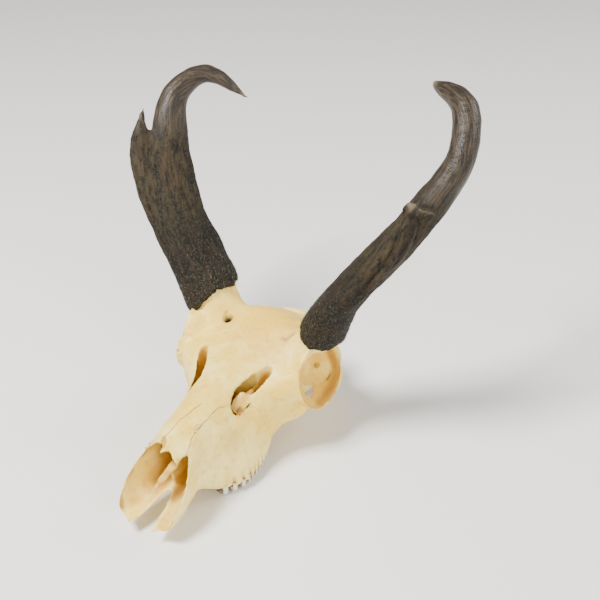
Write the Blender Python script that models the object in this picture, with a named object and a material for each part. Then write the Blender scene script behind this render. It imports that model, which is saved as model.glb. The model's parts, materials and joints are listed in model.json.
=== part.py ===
"""Pronghorn skull with both horns: one cranium, two horn sheaths and twelve cheek teeth.

Sizes are in millimetres. A place is given as (side, back, up): sideways from the mid-plane,
backwards from the muzzle tip, and upwards from the table that the skull rests on.
In the scene the skull faces -Y, its own left side is +X, and the table is z = 0.
"""

import math

import bmesh
import bpy
import numpy as np
from mathutils import Matrix, Vector

MM = 0.001
REACH = 339.4  # from the muzzle tip to the rearmost point of the horns
GAP = 0.4  # clearance that touching pieces keep

BONE_WALL = 2.6  # of the hollow face
BONE_GRAIN = 1.1  # grid step of the blended bone
BONE_FACES = 5700  # triangles left on the bone after thinning
ROUNDING = 3  # passes that soften the joins between bones

# Half sections of the bone as one mass, before its hollows are cut. Each row is a distance back,
# then (side, up) of the roof's mid-line, roof edge, upper side, side, cheek, gum line, inner gum
# and the mid-line of the palate.
SECTIONS = (
    (0, (0, 34), (9, 33), (13, 30), (15, 24), (15, 18), (13, 14.5), (9, 14), (0, 15)),
    (7, (0, 44), (12, 43), (20, 38), (24.5, 28), (24.5, 20), (20, 13.5), (12, 12.5), (0, 15)),
    (16, (0, 58), (12, 56), (22, 48), (27, 36), (27, 24), (22, 13.5), (13, 12), (0, 15.5)),
    (26, (0, 68), (12, 65), (22, 55), (27.5, 41), (27.2, 28), (22, 14.5), (13, 13), (0, 17)),
    (41, (0, 74.5), (13, 66), (20, 58), (25.3, 47), (25, 33), (20.5, 17), (12, 15), (0, 19)),
    (58, (0, 79.3), (13, 72), (18, 65), (23, 49), (23.5, 34), (19.5, 18), (12, 16), (0, 21)),
    (75, (0, 82.5), (12.5, 76.5), (18.5, 68), (26, 52), (28.5, 37), (30.5, 12.5), (19, 8), (0, 21.5)),
    (90, (0, 85), (12.5, 80), (19, 71.5), (27.5, 55), (33, 38), (40, 10), (25, 6), (0, 22)),
    (105, (0, 87), (13, 82), (20.5, 73), (29.5, 57), (36.5, 37), (43, 9.5), (26, 5.5), (0, 22.5)),
    (120, (0, 89), (14, 84.5), (22.5, 77), (32, 62), (38, 42), (42, 10.5), (27, 6), (0, 23)),
    (133, (0, 91.5), (16, 88), (26, 82), (37, 71), (41, 52), (41, 17), (26, 7), (0, 23)),
    (141, (0, 93), (18, 90), (33, 84), (48, 76), (49, 56), (42, 30), (29, 10), (0, 23)),
    (150, (0, 95), (20, 92), (39, 88), (57, 82), (56, 60), (47, 36), (29, 18), (0, 25)),
    (162, (0, 97.5), (22, 94), (42, 91), (52, 84), (52, 60), (44, 38), (30, 23), (0, 27)),
    (176, (0, 100.5), (24, 97), (40, 95), (48, 84), (44, 60), (36, 42), (26, 28), (0, 28)),
    (192, (0, 103.5), (24, 101), (44, 98), (52, 86), (46, 62), (34, 42), (24, 28), (0, 28)),
    (206, (0, 103.5), (24, 101.5), (44, 97), (54, 84), (53, 64), (42, 42), (26, 28), (0, 28)),
    (216, (0, 101), (22, 98), (38, 91), (50, 78), (51, 60), (42, 40), (27, 28), (0, 27)),
    (226, (0, 95), (20, 92), (33, 85), (41, 72), (42, 55), (36, 38), (26, 27), (0, 25)),
    (236, (0, 89), (17, 86), (29, 78), (36, 66), (36, 51), (31, 36), (24, 26), (0, 23)),
    (246, (0, 81), (15, 79), (26, 72), (33, 61), (33, 48), (28, 36), (21, 26), (0, 22)),
    (255, (0, 71), (13, 70), (23, 65), (29, 56), (29, 46), (24, 36), (17, 27), (0, 23)),
    (261, (0, 60), (10, 59), (17, 55), (21, 49), (21, 43), (17, 36), (11, 31), (0, 28)),
)
CAVITY_END = 141  # how far back the nasal cavity runs
PALATE = 3.2  # thickness of the palate
TOOTH_BONE = 29  # height under which the bone beside the palate stays solid to hold the teeth

# The nose opening seen from the side, as (back, up), and the gap between the front bones from above
NOSE_OPENING = ((-12, 8), (0, 15.5), (3, 19), (10, 29), (26, 42), (41, 55.5), (51, 66), (44, 62),
                (33, 59), (27, 62), (20, 130), (-12, 130))
FRONT_GAP = ((11.5, -8), (11.5, 0), (9.5, 4), (7.6, 8.5), (6.5, 14), (6.4, 19), (4.9, 27), (3.4, 37),
             (0, 45))
# What is torn away in front of the nasal bones, seen from above as (side, back)
NASAL_TIPS = ((26, 45), (16, 41.5), (16.4, 30.6), (12.8, 31.2), (8.2, 36), (6.2, 35.6), (3.3, 30),
              (0.6, 34.5), (-0.4, 37.5), (-4.6, 38), (-9.5, 40.5), (-12.7, 37.4), (-17, 35), (-26, 41),
              (-26, 20), (26, 20))
# Slot beside each nasal bone, as (side, back) seen from above, and its front end on each side
SIDE_SLOT = ((27.8, 118), (28.8, 129), (33, 138), (35.8, 146), (34.6, 153), (31, 152),
             (24.6, 140), (19.4, 128), (17.7, 119), (19, 109))
SLOT_FRONT = {1: ((21.6, 105), (25, 105), (27.4, 110)), -1: ((22.5, 99), (25.2, 107.5))}

ORBIT_CENTRE = (68, 176.5, 76)
ORBIT_RIM = (29.5, 31.3)  # half the eye socket's length and half its height
ORBIT_WALL = 3.2  # of its ring
ORBIT_TURN = 8  # degrees that it faces forward
ORBIT_TILT = 11  # degrees that it faces up
ORBIT_ROOF = 0.84  # the hollow's height above its middle, as a share of that below

HORN_LINE = {  # the middle of each horn from its base to its tip; side is measured outwards
    "left": ((56.7, 196.4, 104.5), (74, 200.7, 141.3), (97, 212.1, 175), (116.6, 228.2, 201.6),
             (133.2, 250.1, 231.6), (141.2, 278.2, 256.4), (127.5, 311.7, 285.6), (89.7, 335.4, 290.4)),
    "right": ((55, 199.8, 108.5), (75, 203.3, 144.7), (97, 209.7, 173.3), (116.6, 229.4, 205.4),
              (130.3, 251.7, 228.6), (138.3, 275.2, 256.4), (122.9, 306.1, 270.1), (86.7, 317.2, 248)),
}
# Share of the horn's length, then half its length front to back and half its thickness
HORN_BEAM = {
    "left": ((-0.06, 26.5, 20), (0.04, 28, 19.5), (0.12, 27.5, 16.5), (0.2, 27, 15), (0.4, 25, 15),
             (0.5, 20, 14.6), (0.6, 16.5, 13.4), (0.7, 13.8, 12), (0.8, 12.6, 12), (0.86, 11.8, 11.4),
             (0.93, 9.6, 9.2), (0.975, 7, 6.6), (1, 3.6, 3.4)),
    "right": ((-0.06, 26.5, 19.5), (0.04, 28, 19), (0.12, 27.5, 15), (0.2, 27, 13.5), (0.4, 25, 13.4),
              (0.5, 20, 13.4), (0.6, 16.5, 13), (0.7, 13.4, 11.5), (0.8, 10, 9.6), (0.88, 8.2, 8),
              (0.94, 5.6, 5.4), (0.98, 3, 3), (1, 1.2, 1.2)),
}
HORN_TOE = {"left": 8, "right": 24}  # degrees that each blade's front edge is turned outwards
PEDICLE_TOE = 30  # degrees that the bony stalk is turned outwards
# The flat forward prong: share along the horn, reach from its middle, half length, half thickness
# and inward curl
PRONG = {
    "left": ((0.18, 8, 13, 9.5, 0), (0.3, 18, 13, 10.5, 0), (0.38, 24, 12, 11, 2), (0.44, 27, 9, 10.5, 4),
             (0.48, 29, 6, 8, 7), (0.515, 31, 2, 3, 12)),
    "right": ((0.2, 8, 14, 9, 0), (0.4, 22, 13, 9, 0), (0.5, 27, 10, 7, 0), (0.57, 28, 6.5, 4.6, 0),
              (0.645, 27, 2, 1.5, 0)),
}
SHEATH_FOOT = {"front": (60, 174, 102.5), "back": (33, 206, 118), "outer": (71, 197, 102)}
HORN_START = -0.1  # share below the base at which each horn is begun before its foot is trimmed
CORE_SHARE = 0.46  # how far the bony core runs up inside the sheath
CORE_START = -0.02  # share below the base at which the core leaves its stalk
SOCKET_START = -0.14  # share below the base at which the cut for the core begins
CORE_STEP = 0.06  # between the rings of the core, and of its socket, so that their sides agree
CORE_RING = 14  # sides of the core
SHEATH_WALL = 4.2
SHEATH_RING = 18
SHEATH_STEPS = 24

BROW_HOLE = {1: 1.6, -1: 4.4}  # half width of the hole above each eye
ROOT_TOP = 16  # height that the tooth roots reach inside the bone
# Name, front edge, rear edge, outer face at the front and at the rear, width, number of cusps
TEETH = (
    ("premolar_2", 76.5, 83.5, 27.5, 33, 7.5, 1),
    ("premolar_3", 83.5, 91.8, 33, 37.2, 9, 1),
    ("premolar_4", 91.8, 100.4, 37.2, 39.4, 11, 1),
    ("molar_1", 100.4, 112, 39.4, 39.6, 13, 2),
    ("molar_2", 112, 125.6, 39.6, 38, 14, 2),
    ("molar_3", 125.6, 141.5, 38, 34.5, 13, 3),
)
RIB = 0.9  # how far the tooth's upright ribs stand out
WEAR_WIDTH = 3.4  # of the flat worn strip along the outer cusps
VALLEY = 5  # height of the notch between two cusps
BASIN = 4.2  # height of the crown's inner edge, from which the chewing face slopes down outwards


def place(side, back, up):
    return Vector((side * MM, (back - REACH / 2) * MM, up * MM))


def places(points):
    return np.array([place(*point) for point in points])


def clear_scene():
    for item in list(bpy.data.objects):
        bpy.data.objects.remove(item, do_unlink=True)


def material(name, colour, roughness):
    made = bpy.data.materials.new(name)
    made.use_nodes = True
    shader = made.node_tree.nodes["Principled BSDF"]
    shader.inputs["Base Color"].default_value = (*colour, 1)
    shader.inputs["Roughness"].default_value = roughness
    return made


def smooth_line(points, count, closed=False):
    """Points spread evenly by number along a Catmull-Rom curve through the given ones."""
    points = np.asarray(points, float)
    if closed:
        padded = np.concatenate([points[-1:], points, points[:2]])
        stops = np.arange(count) * len(points) / count
    else:
        padded = np.concatenate([2 * points[:1] - points[1:2], points, 2 * points[-1:] - points[-2:-1]])
        stops = np.linspace(0, len(points) - 1, count)
    made = []
    for stop in stops:
        index = min(int(stop), len(padded) - 4)
        t = stop - index
        a, b, c, d = padded[index:index + 4]
        made.append(0.5 * (2 * b + (c - a) * t + (2 * a - 5 * b + 4 * c - d) * t * t
                           + (3 * b - 3 * c + d - a) * t ** 3))
    return np.array(made)


def round_turns(count):
    return [2 * math.pi * k / count for k in range(count)]


def new_object(name, mesh):
    made = bpy.data.objects.new(name, mesh)
    bpy.context.scene.collection.objects.link(made)
    return made


def from_bmesh(name, shape):
    bmesh.ops.recalc_face_normals(shape, faces=shape.faces)
    mesh = bpy.data.meshes.new(name)
    shape.to_mesh(mesh)
    shape.free()
    return new_object(name, mesh)


def loft(name, rings):
    """A closed solid through rings of equal point count, with flat ends."""
    shape = bmesh.new()
    rows = [[shape.verts.new(point) for point in ring] for ring in rings]
    for one, two in zip(rows[:-1], rows[1:]):
        for i in range(len(one)):
            j = (i + 1) % len(one)
            shape.faces.new((one[i], one[j], two[j], two[i]))
    shape.faces.new(rows[0])
    shape.faces.new(rows[-1])
    return from_bmesh(name, shape)


def prism(name, outline, low, high):
    """An outline of world points moved by the vectors low and high to make the two ends."""
    return loft(name, [[Vector(p) + low for p in outline], [Vector(p) + high for p in outline]])


def ellipsoid(name, centre, radii, turn=0):
    shape = bmesh.new()
    bmesh.ops.create_icosphere(shape, subdivisions=3, radius=1)
    spin = Matrix.Rotation(math.radians(turn), 4, "X")
    stretch = [radius * MM for radius in radii]
    bmesh.ops.transform(shape, verts=shape.verts,
                        matrix=Matrix.Translation(place(*centre)) @ spin @ Matrix.Diagonal((*stretch, 1)))
    return from_bmesh(name, shape)


def tube(name, route, sizes, ring=14, steps=16, wide=(1, 0, 0)):
    """A rounded bar along a route; sizes give its half width along wide and its other half width."""
    line = smooth_line(places(route), steps)
    half = smooth_line(np.array(sizes, float) * MM, steps)
    rings = []
    for i, centre in enumerate(line):
        ahead = Vector(line[min(i + 1, steps - 1)] - line[max(i - 1, 0)]).normalized()
        across = (Vector(wide) - ahead * ahead.dot(Vector(wide))).normalized()
        other = ahead.cross(across)
        rings.append([Vector(centre) + across * half[i][0] * math.cos(a) + other * half[i][1] * math.sin(a)
                      for a in round_turns(ring)])
    return loft(name, rings)


def finished(item):
    """The object's mesh with its modifiers applied."""
    graph = bpy.context.evaluated_depsgraph_get()
    mesh = bpy.data.meshes.new_from_object(item.evaluated_get(graph))
    item.modifiers.clear()
    item.data = mesh
    return item


def combine(item, other, operation, solver="EXACT"):
    change = item.modifiers.new(operation.lower(), "BOOLEAN")
    change.operation = operation
    change.object = other
    change.solver = solver
    finished(item)
    bpy.data.objects.remove(other, do_unlink=True)
    return item


def mirrored(build):
    """Runs a builder for the left side and for the right side."""
    return [build(1), build(-1)]


def flip(points, side):
    return [(side * x, back, up) for x, back, up in points]


def half_to_ring(half, back):
    """A whole section from a half one, as places."""
    right = [(-x, up) for x, up in half[-2:0:-1]]
    ring = smooth_line(list(half) + right, 52, closed=True)
    return [(x, back, up) for x, up in ring]


def section_rings(rows):
    backs = [row[0] for row in rows]
    keys = np.array([[value for pair in row[1:] for value in pair] for row in rows])
    table = smooth_line(np.column_stack([backs, keys]), 4 * len(rows))
    rings = []
    for row in table:
        half = row[1:].reshape(-1, 2)
        rings.append(places(half_to_ring([tuple(pair) for pair in half], row[0])))
    return rings


def bone_mass():
    return loft("skull", section_rings(SECTIONS))


def nasal_cavity():
    """The outer sections moved in by the wall, with solid bone left beside the palate."""
    rows = [row for row in SECTIONS if 7 <= row[0] <= CAVITY_END]
    inner = []
    for row in rows:
        half = np.array(row[1:])
        middle = np.array([0, (half[0][1] + half[-1][1]) / 2])
        pull = middle - half
        half = half + pull / np.linalg.norm(pull, axis=1, keepdims=True) * BONE_WALL
        half[0][0] = half[-1][0] = 0
        half[-1][1] = row[-1][1] + PALATE
        if row[0] > 60:
            half[5] = (min(half[5][0], 19), TOOTH_BONE + 4)
            half[6] = (12, half[-1][1] + 1)
        inner.append((row[0], *[tuple(pair) for pair in half]))
    inner[0] = (-6, *inner[0][1:])
    return loft("nasal cavity", section_rings(inner))


def nose_opening():
    outline = [place(-60, back, up) for back, up in NOSE_OPENING]
    return prism("nose opening", outline, Vector((0, 0, 0)), Vector((120 * MM, 0, 0)))


def front_gap():
    sides = list(FRONT_GAP) + [(-x, back) for x, back in FRONT_GAP[-2::-1]]
    outline = [place(x, back, -4) for x, back in sides]
    return prism("front gap", outline, Vector((0, 0, 0)), Vector((0, 0, 38 * MM)))


def nasal_tips():
    """The torn gap in front of the nasal bones."""
    outline = [place(x, back, 57) for x, back in NASAL_TIPS]
    return prism("nasal tips", outline, Vector((0, 0, 0)), Vector((0, 0, 40 * MM)))


def side_slot(side):
    corners = (*SLOT_FRONT[side], *SIDE_SLOT)
    outline = [place(side * x, back, 52) for x, back in corners]
    return prism("side slot", outline, Vector((0, 0, 0)), Vector((0, 0, 50 * MM)))


def septum():
    """The thin upright blade in the middle of the nose."""
    outline = [place(0, back, up) for back, up in
               ((50, 18), (43, 40), (70, 45), (110, 54), (153, 62), (153, 22), (80, 19))]
    half = 1.2 * MM
    return prism("septum", outline, Vector((-half, 0, 0)), Vector((half, 0, 0)))


def nose_tongue():
    """The narrow strip along the septum's edge, which runs forward into a free tip."""
    return tube("nose tongue", ((0, 22, 37.4), (0, 36, 39.6), (0, 55, 42.6), (0, 74, 45.6), (0, 98, 50)),
                ((2, 1.2), (4, 1.6), (5, 1.8), (5.2, 1.8), (5, 1.8)), ring=12)


def scroll():
    """The strap of thin bone that closes the middle of the left slot from within."""
    route = ((22.6, 109, 63.6), (23, 114, 65.8), (23.6, 120, 69), (24.6, 127, 72.6))
    return tube("scroll", route, ((7.4, 1.5), (8, 1.6), (8.4, 1.6), (7.6, 1.5)), wide=(1, 0, -0.6), ring=12)


def orbit_frame(side):
    """The eye socket's outward, forward and upward directions."""
    turn, tilt = math.radians(ORBIT_TURN), math.radians(ORBIT_TILT)
    out = Vector((math.cos(turn) * math.cos(tilt), -math.sin(turn) * math.cos(tilt), math.sin(tilt)))
    ahead = Vector((-math.sin(turn), -math.cos(turn), 0))
    up = out.cross(ahead)
    if up.z < 0:
        up = -up
    if side < 0:
        out.x, ahead.x, up.x = -out.x, -ahead.x, -up.x
    return out, ahead, up


def orbit_rings(side, rows, roof=1.0):
    """Oval rings along the eye socket's axis; rows give a depth, two half sizes and a slide backwards."""
    out, ahead, up = orbit_frame(side)
    rings = []
    for depth, length, height, slide in rows:
        centre = place(side * ORBIT_CENTRE[0], *ORBIT_CENTRE[1:]) - (out * depth + ahead * slide) * MM
        rings.append([centre + (ahead * length * math.cos(a)
                                + up * height * min(math.sin(a), roof * math.sin(a))) * MM
                      for a in round_turns(36)])
    return rings


def orbit_ring(side):
    """The thin tube of bone that stands out round the eye."""
    length, height = ORBIT_RIM
    rows = ((0, length, height, 0), (5, length - 0.5, height - 0.5, 0.5), (12, length - 1, height - 1, 3.5),
            (22, length - 3, height - 3, 9))
    return loft("orbit ring", orbit_rings(side, rows))


def orbit_hollow(side):
    length, height = (half - ORBIT_WALL for half in ORBIT_RIM)
    rows = ((-26, length + 4, height + 4, 0), (-2, length + 1, height + 1, 0), (3, length, height, 0),
            (10, length - 1, height - 1, 3), (16, length - 3, height - 2.5, 7),
            (22, length - 8, height - 7, 11), (27, length - 15, height - 14, 14))
    return loft("orbit hollow", orbit_rings(side, rows, ORBIT_ROOF))


def orbit_dome(side):
    """The side of the braincase, which bulges into the back of the eye socket."""
    return ellipsoid("orbit dome", (side * 41.5, 216, 58), (22.5, 26.5, 21.5))


def orbit_slit(side):
    """The narrow gap between the dome and the bar behind the eye."""
    return tube("orbit slit", flip(((63.6, 203, 58), (61, 210, 54), (59, 222, 48)), side),
                ((1.5, 5), (1.7, 6), (2.4, 7)), ring=12, steps=8)


def temple_hollow(side):
    """The space between the arch and the braincase, behind the eye socket."""
    return tube("temple hollow", flip(((60, 236, 84), (58, 230, 64), (55, 226, 44), (50, 222, 14)), side),
                ((9, 12), (10, 13), (10.5, 14), (12, 15)), ring=20)


def floor_hollow(side):
    """The open space under the eye socket, between the cheek bone and the wings beside the throat."""
    route = flip(((34, 166, 8), (36, 178, 20), (39, 194, 26), (40, 218, 22), (42, 242, 10)), side)
    return tube("floor hollow", route, ((7, 12), (10, 20), (12, 20), (12, 18), (10, 12)), ring=20)


def orbit_floor_hole(side):
    """The opening from the eye socket's floor down to the space beside the throat."""
    return tube("orbit floor hole", flip(((53, 175, 53), (48.5, 187, 42), (43, 198, 28)), side),
                ((5, 8), (5.4, 8), (6.4, 8)), ring=12, steps=8)


def cheek_bone(side):
    """The thick bone under the front of the eye socket."""
    return tube("cheek bone", flip(((40, 150, 42), (50, 156, 46), (59.5, 162.5, 50)), side),
                ((9, 12), (8.5, 10.5), (6, 8)))


def cheek_arch(side):
    """The thin bar from the cheek back to the ear region."""
    route = flip(((68, 196, 50), (67, 210, 47), (62, 224, 47), (50, 237, 49), (33, 245, 51)), side)
    return tube("cheek arch", route, ((3.4, 5), (2.8, 4.8), (2.8, 5), (3.4, 5.4), (5, 6.5)))


def ear_bulb(side):
    return ellipsoid("ear bulb", (side * 21, 230, 18), (8.5, 12, 10))


def neck_knob(side):
    return ellipsoid("neck knob", (side * 15, 261, 32), (10.5, 8, 10.5), turn=-25)


def neck_spike(side):
    """The flat process beside each knob, which reaches the table."""
    return tube("neck spike", flip(((27, 250, 40), (28, 249, 22), (27, 246, 8), (26, 244, 1.6)), side),
                ((5.5, 8), (4.5, 6.5), (3.2, 4.5), (2.6, 3)))


def throat_wing(side):
    outline = [place(side * 11, back, up) for back, up in
               ((148, 26), (150, 17), (160, 10), (172, 7), (182, 12), (192, 24), (192, 34), (150, 34))]
    return prism("throat wing", outline, Vector((-1.4 * MM, 0, 0)), Vector((1.4 * MM, 0, 0)))


def neck_ridge():
    """The raised edge across the top of the back of the head."""
    return tube("neck ridge", ((-31, 247, 60), (-20, 252, 71), (0, 254, 75), (20, 252, 71), (31, 247, 60)),
                ((4, 3.6), (4.4, 4), (5, 4.6), (4.4, 4), (4, 3.6)), wide=(0, 1, 0), steps=20)


def throat_opening():
    corners = ((-9.4, 151), (9.4, 151), (9.4, 176), (0, 184), (-9.4, 176))
    outline = [place(x, back, -5) for x, back in corners]
    return prism("throat opening", outline, Vector((0, 0, 0)), Vector((0, 0, 46 * MM)))


def brain_hollow():
    return ellipsoid("brain hollow", (0, 224, 58), (27, 27, 25))


def neck_hole():
    return tube("neck hole", ((0, 240, 46), (0, 252, 42), (0, 272, 38)), ((11, 10), (11.5, 10.5), (12, 11)))


def pedicle(side):
    """The bony stalk between the brow and the horn's core."""
    name = "left" if side > 0 else "right"
    base = HORN_LINE[name][0]
    foot = (44, 193, 84)
    route = [foot, ((foot[0] + base[0]) / 2, (foot[1] + base[1]) / 2, (foot[2] + base[2]) / 2), base]
    toe = math.radians(PEDICLE_TOE)
    return tube("pedicle", flip(route, side), ((30, 24), (26, 18), (23, 14.4)), ring=20, steps=8,
                wide=(side * math.sin(toe), -math.cos(toe), 0))


def brow_hole(side):
    """The hole above each eye, which narrows to a groove towards the horn."""
    size = BROW_HOLE[side]
    route = flip(((35.4, 191, 106), (32.4, 187, 101.5), (30.4, 183.6, 96.5), (31.5, 188, 86)), side)
    widths = ((0.25 * size, 0.5 * size), (0.65 * size, 0.8 * size), (size, size), (size, size))
    return tube("brow hole", route, widths, ring=10, steps=8)


def cheek_hole(side):
    """The nerve hole over the first cheek teeth."""
    return tube("cheek hole", flip(((31, 60, 32.5), (25, 66, 32), (21, 75, 33)), side),
                ((2.6, 1.8), (2.4, 1.8), (2, 1.8)), ring=10, steps=6)


def blended(item):
    """Bones grown into one: remade on an even grid, softened and thinned out."""
    grid = item.modifiers.new("grid", "REMESH")
    grid.mode = "VOXEL"
    grid.voxel_size = BONE_GRAIN * MM
    finished(item)
    soft = item.modifiers.new("soft", "SMOOTH")
    soft.factor = 0.5
    soft.iterations = ROUNDING
    finished(item)
    thin = item.modifiers.new("thin", "DECIMATE")
    thin.ratio = BONE_FACES / (2 * len(item.data.polygons))
    return finished(item)


def skull_bone():
    """All the bones; the exact solver loses them where surfaces nearly meet, so it isn't used here."""
    skull = bone_mass()
    hollows = [brain_hollow(), neck_hole(), throat_opening()]
    for hollow in (temple_hollow, floor_hollow):
        hollows += mirrored(hollow)
    bones = [septum(), nose_tongue(), neck_ridge()]
    for bone in (orbit_dome, cheek_arch, ear_bulb, neck_knob, neck_spike, throat_wing):
        bones += mirrored(bone)
    openings = [nose_opening(), nasal_tips(), front_gap()]
    for opening in (side_slot, brow_hole, cheek_hole, orbit_floor_hole, orbit_slit):
        openings += mirrored(opening)
    steps = (
        ([nasal_cavity()], "DIFFERENCE"),
        (mirrored(orbit_ring) + mirrored(cheek_bone) + mirrored(pedicle), "UNION"),
        (mirrored(orbit_hollow) + hollows, "DIFFERENCE"),
        (bones, "UNION"),
        (openings, "DIFFERENCE"),
        ([scroll()], "UNION"),
    )
    for pieces, operation in steps:
        for piece in pieces:
            combine(skull, piece, operation, "MANIFOLD")
    return blended(skull)


def horn_axes(line, index, toe):
    """Directions along the horn, along its blade and across it, in left-side form."""
    last = len(line) - 1
    ahead = Vector(line[min(index + 1, last)] - line[max(index - 1, 0)]).normalized()
    front = Vector((0, -1, 0))
    front = (front - ahead * ahead.dot(front)).normalized()
    out = ahead.cross(front)
    toe = math.radians(toe)
    return ahead, front * math.cos(toe) + out * math.sin(toe), out * math.cos(toe) - front * math.sin(toe)


def horn_place(name, share):
    """The centre, blade direction and cross direction at a share of the horn's length."""
    fine = 200
    line = smooth_line(np.array([place(*point) for point in HORN_LINE[name]]), fine)
    index = min(max(int(round(share * (fine - 1))), 0), fine - 1)
    ahead, blade, across = horn_axes(line, index, HORN_TOE[name])
    centre = Vector(line[index])
    if share < 0:
        length = sum(np.linalg.norm(np.diff(line, axis=0), axis=1))
        centre += ahead * share * length
    return centre, blade, across


def horn_loft(title, name, rows, ring, steps, start, end, trim=0.0):
    """A solid round the horn's line; rows give share, half length, half thickness, reach and inward curl."""
    rows = np.array(rows, float)
    rings = []
    for share in np.linspace(start, end, steps):
        centre, blade, across = horn_place(name, share)
        length, thick, reach, curl = (np.interp(share, rows[:, 0], column) for column in rows.T[1:])
        rings.append([centre + blade * ((length - trim) * math.cos(a) + reach) * MM
                      + across * ((thick - trim) * math.sin(a) - curl) * MM for a in round_turns(ring)])
    made = loft(title, rings)
    if name == "right":
        made.data.transform(Matrix.Diagonal((-1, 1, 1, 1)))
        made.data.flip_normals()
    return made


def beam_rows(name):
    return [(*row, 0, 0) for row in HORN_BEAM[name]]


def horn_beam(title, name, trim=0.0):
    return horn_loft(title, name, beam_rows(name), SHEATH_RING, SHEATH_STEPS, HORN_START, 1, trim)


def prong_rows(name):
    return [(share, length, thick, reach, curl) for share, reach, length, thick, curl in PRONG[name]]


def horn_prong(name):
    rows = prong_rows(name)
    return horn_loft("prong", name, rows, 12, 12, rows[0][0], rows[-1][0])


def horn_core(title, name, trim, start):
    steps = round((CORE_SHARE - start) / CORE_STEP) + 1
    return horn_loft(title, name, beam_rows(name), CORE_RING, steps, start, CORE_SHARE, trim)


def trimmed_foot(item, name, lift=0.0):
    """Cuts the sheath off along the sloping line where it meets the bone."""
    side = 1 if name == "left" else -1
    corners = [place(side * x, back, up + lift) for x, back, up in SHEATH_FOOT.values()]
    normal = (corners[1] - corners[0]).cross(corners[2] - corners[0]).normalized()
    if normal.z > 0:
        normal = -normal
    shape = bmesh.new()
    shape.from_mesh(item.data)
    cut = bmesh.ops.bisect_plane(shape, geom=shape.verts[:] + shape.edges[:] + shape.faces[:],
                                 plane_co=corners[0], plane_no=normal, clear_outer=True)
    rim = [edge for edge in cut["geom_cut"] if isinstance(edge, bmesh.types.BMEdge)]
    bmesh.ops.contextual_create(shape, geom=rim)
    bmesh.ops.recalc_face_normals(shape, faces=shape.faces)
    shape.to_mesh(item.data)
    shape.free()
    return item


def horn_sheath(name):
    sheath = combine(horn_beam(f"horn_sheath_{name}", name), horn_prong(name), "UNION")
    trimmed_foot(sheath, name)
    socket = horn_core("socket", name, SHEATH_WALL, SOCKET_START)
    return combine(sheath, socket, "DIFFERENCE")


def seat_horn(skull, name):
    """Clears the bone around the sheath's foot, then grows the core back up into the sheath."""
    clearance = horn_beam("clearance", name, trim=-GAP)
    trimmed_foot(clearance, name, lift=-GAP * 1.2)
    combine(skull, clearance, "DIFFERENCE")
    core = horn_core("core", name, SHEATH_WALL + GAP, CORE_START)
    return combine(skull, core, "UNION")


def tooth_outline(row, side):
    """The tooth seen from below: ribs outside, one round lobe inside for each cusp."""
    name, start, end, outer_front, outer_rear, width, cusps = row
    start, end = start + GAP / 2, end - GAP / 2
    points = []
    ribs = 4 * cusps
    for k in range(ribs + 1):
        along = k / ribs
        rib = RIB if k % 2 == 0 else 0
        face = outer_front + (outer_rear - outer_front) * along - RIB + rib
        points.append((face, start + (end - start) * along))
    lobes = 3 * cusps
    for k in range(lobes + 1):
        along = 1 - k / lobes
        bulge = math.sin(math.pi * ((along * cusps) % 1.0)) if 0 < k < lobes else 0
        inner = outer_front + (outer_rear - outer_front) * along - width * (0.86 + 0.14 * bulge)
        points.append((inner, start + (end - start) * along))
    return [(side * x, back) for x, back in points]


def tooth(row, side):
    """A ribbed crown on its root, worn flat along the outer cusps and notched between them."""
    name = f"{row[0]}_{'left' if side > 0 else 'right'}"
    outline = [place(x, back, 0) for x, back in tooth_outline(row, side)]
    crown = prism(name, outline, Vector((0, 0, 0)), Vector((0, 0, (ROOT_TOP - GAP) * MM)))
    start, end, outer = row[1], row[2], (row[3] + row[4]) / 2
    inside = outer - row[5] - 3
    slope = [(outer - WEAR_WIDTH, -1), (outer - WEAR_WIDTH, 0.01), (inside, BASIN), (inside, -1)]
    basin = [place(side * x, start - 2, up) for x, up in slope]
    along = Vector((0, (end - start + 4) * MM, 0))
    combine(crown, prism("basin", basin, Vector((0, 0, 0)), along), "DIFFERENCE")
    cusps = row[6]
    for k in range(cusps + 1):
        middle = start + (end - start) * k / cusps
        half = (end - start) / cusps * 0.3
        notch = [place(side * (outer - 20), back, up) for back, up in
                 ((middle - half, -1), (middle, VALLEY), (middle + half, -1))]
        across = Vector((side * 30 * MM, 0, 0))
        combine(crown, prism("notch", notch, Vector((0, 0, 0)), across), "DIFFERENCE")
    return crown


def tooth_trough(side):
    """One socket for the whole row of cheek teeth."""
    outer, inner = [], []
    for row in TEETH:
        outer.append((row[3] + GAP, row[1]))
        inner.append((row[3] - row[5] - GAP, row[1]))
    last = TEETH[-1]
    outer.append((last[4] + GAP, last[2] + GAP))
    inner.append((last[4] - last[5] - GAP, last[2] + GAP))
    outer[0] = (outer[0][0], TEETH[0][1] - GAP)
    inner[0] = (inner[0][0], TEETH[0][1] - GAP)
    inner = [(min(a[0], b[0]), a[1]) for a, b in zip(inner, inner[1:] + inner[-1:])]
    outline = [place(side * x, back, -6) for x, back in outer + inner[::-1]]
    return prism("tooth trough", outline, Vector((0, 0, 0)), Vector((0, 0, (ROOT_TOP + 6) * MM)))


def paint(item, finish):
    item.data.materials.clear()
    item.data.materials.append(finish)
    item.data.shade_smooth()
    item.data.set_sharp_from_angle(angle=math.radians(40))


def build():
    clear_scene()
    bone = material("bone", (0.78, 0.68, 0.47), 0.5)
    horn = material("horn", (0.045, 0.035, 0.028), 0.6)
    enamel = material("tooth", (0.82, 0.76, 0.62), 0.35)
    skull = skull_bone()
    for name in ("left", "right"):
        seat_horn(skull, name)
        paint(horn_sheath(name), horn)
    for trough in mirrored(tooth_trough):
        combine(skull, trough, "DIFFERENCE")
    paint(skull, bone)
    for side in (1, -1):
        for row in TEETH:
            paint(tooth(row, side), enamel)


build()
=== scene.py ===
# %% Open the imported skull
import json
import math
from contextlib import contextmanager

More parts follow.
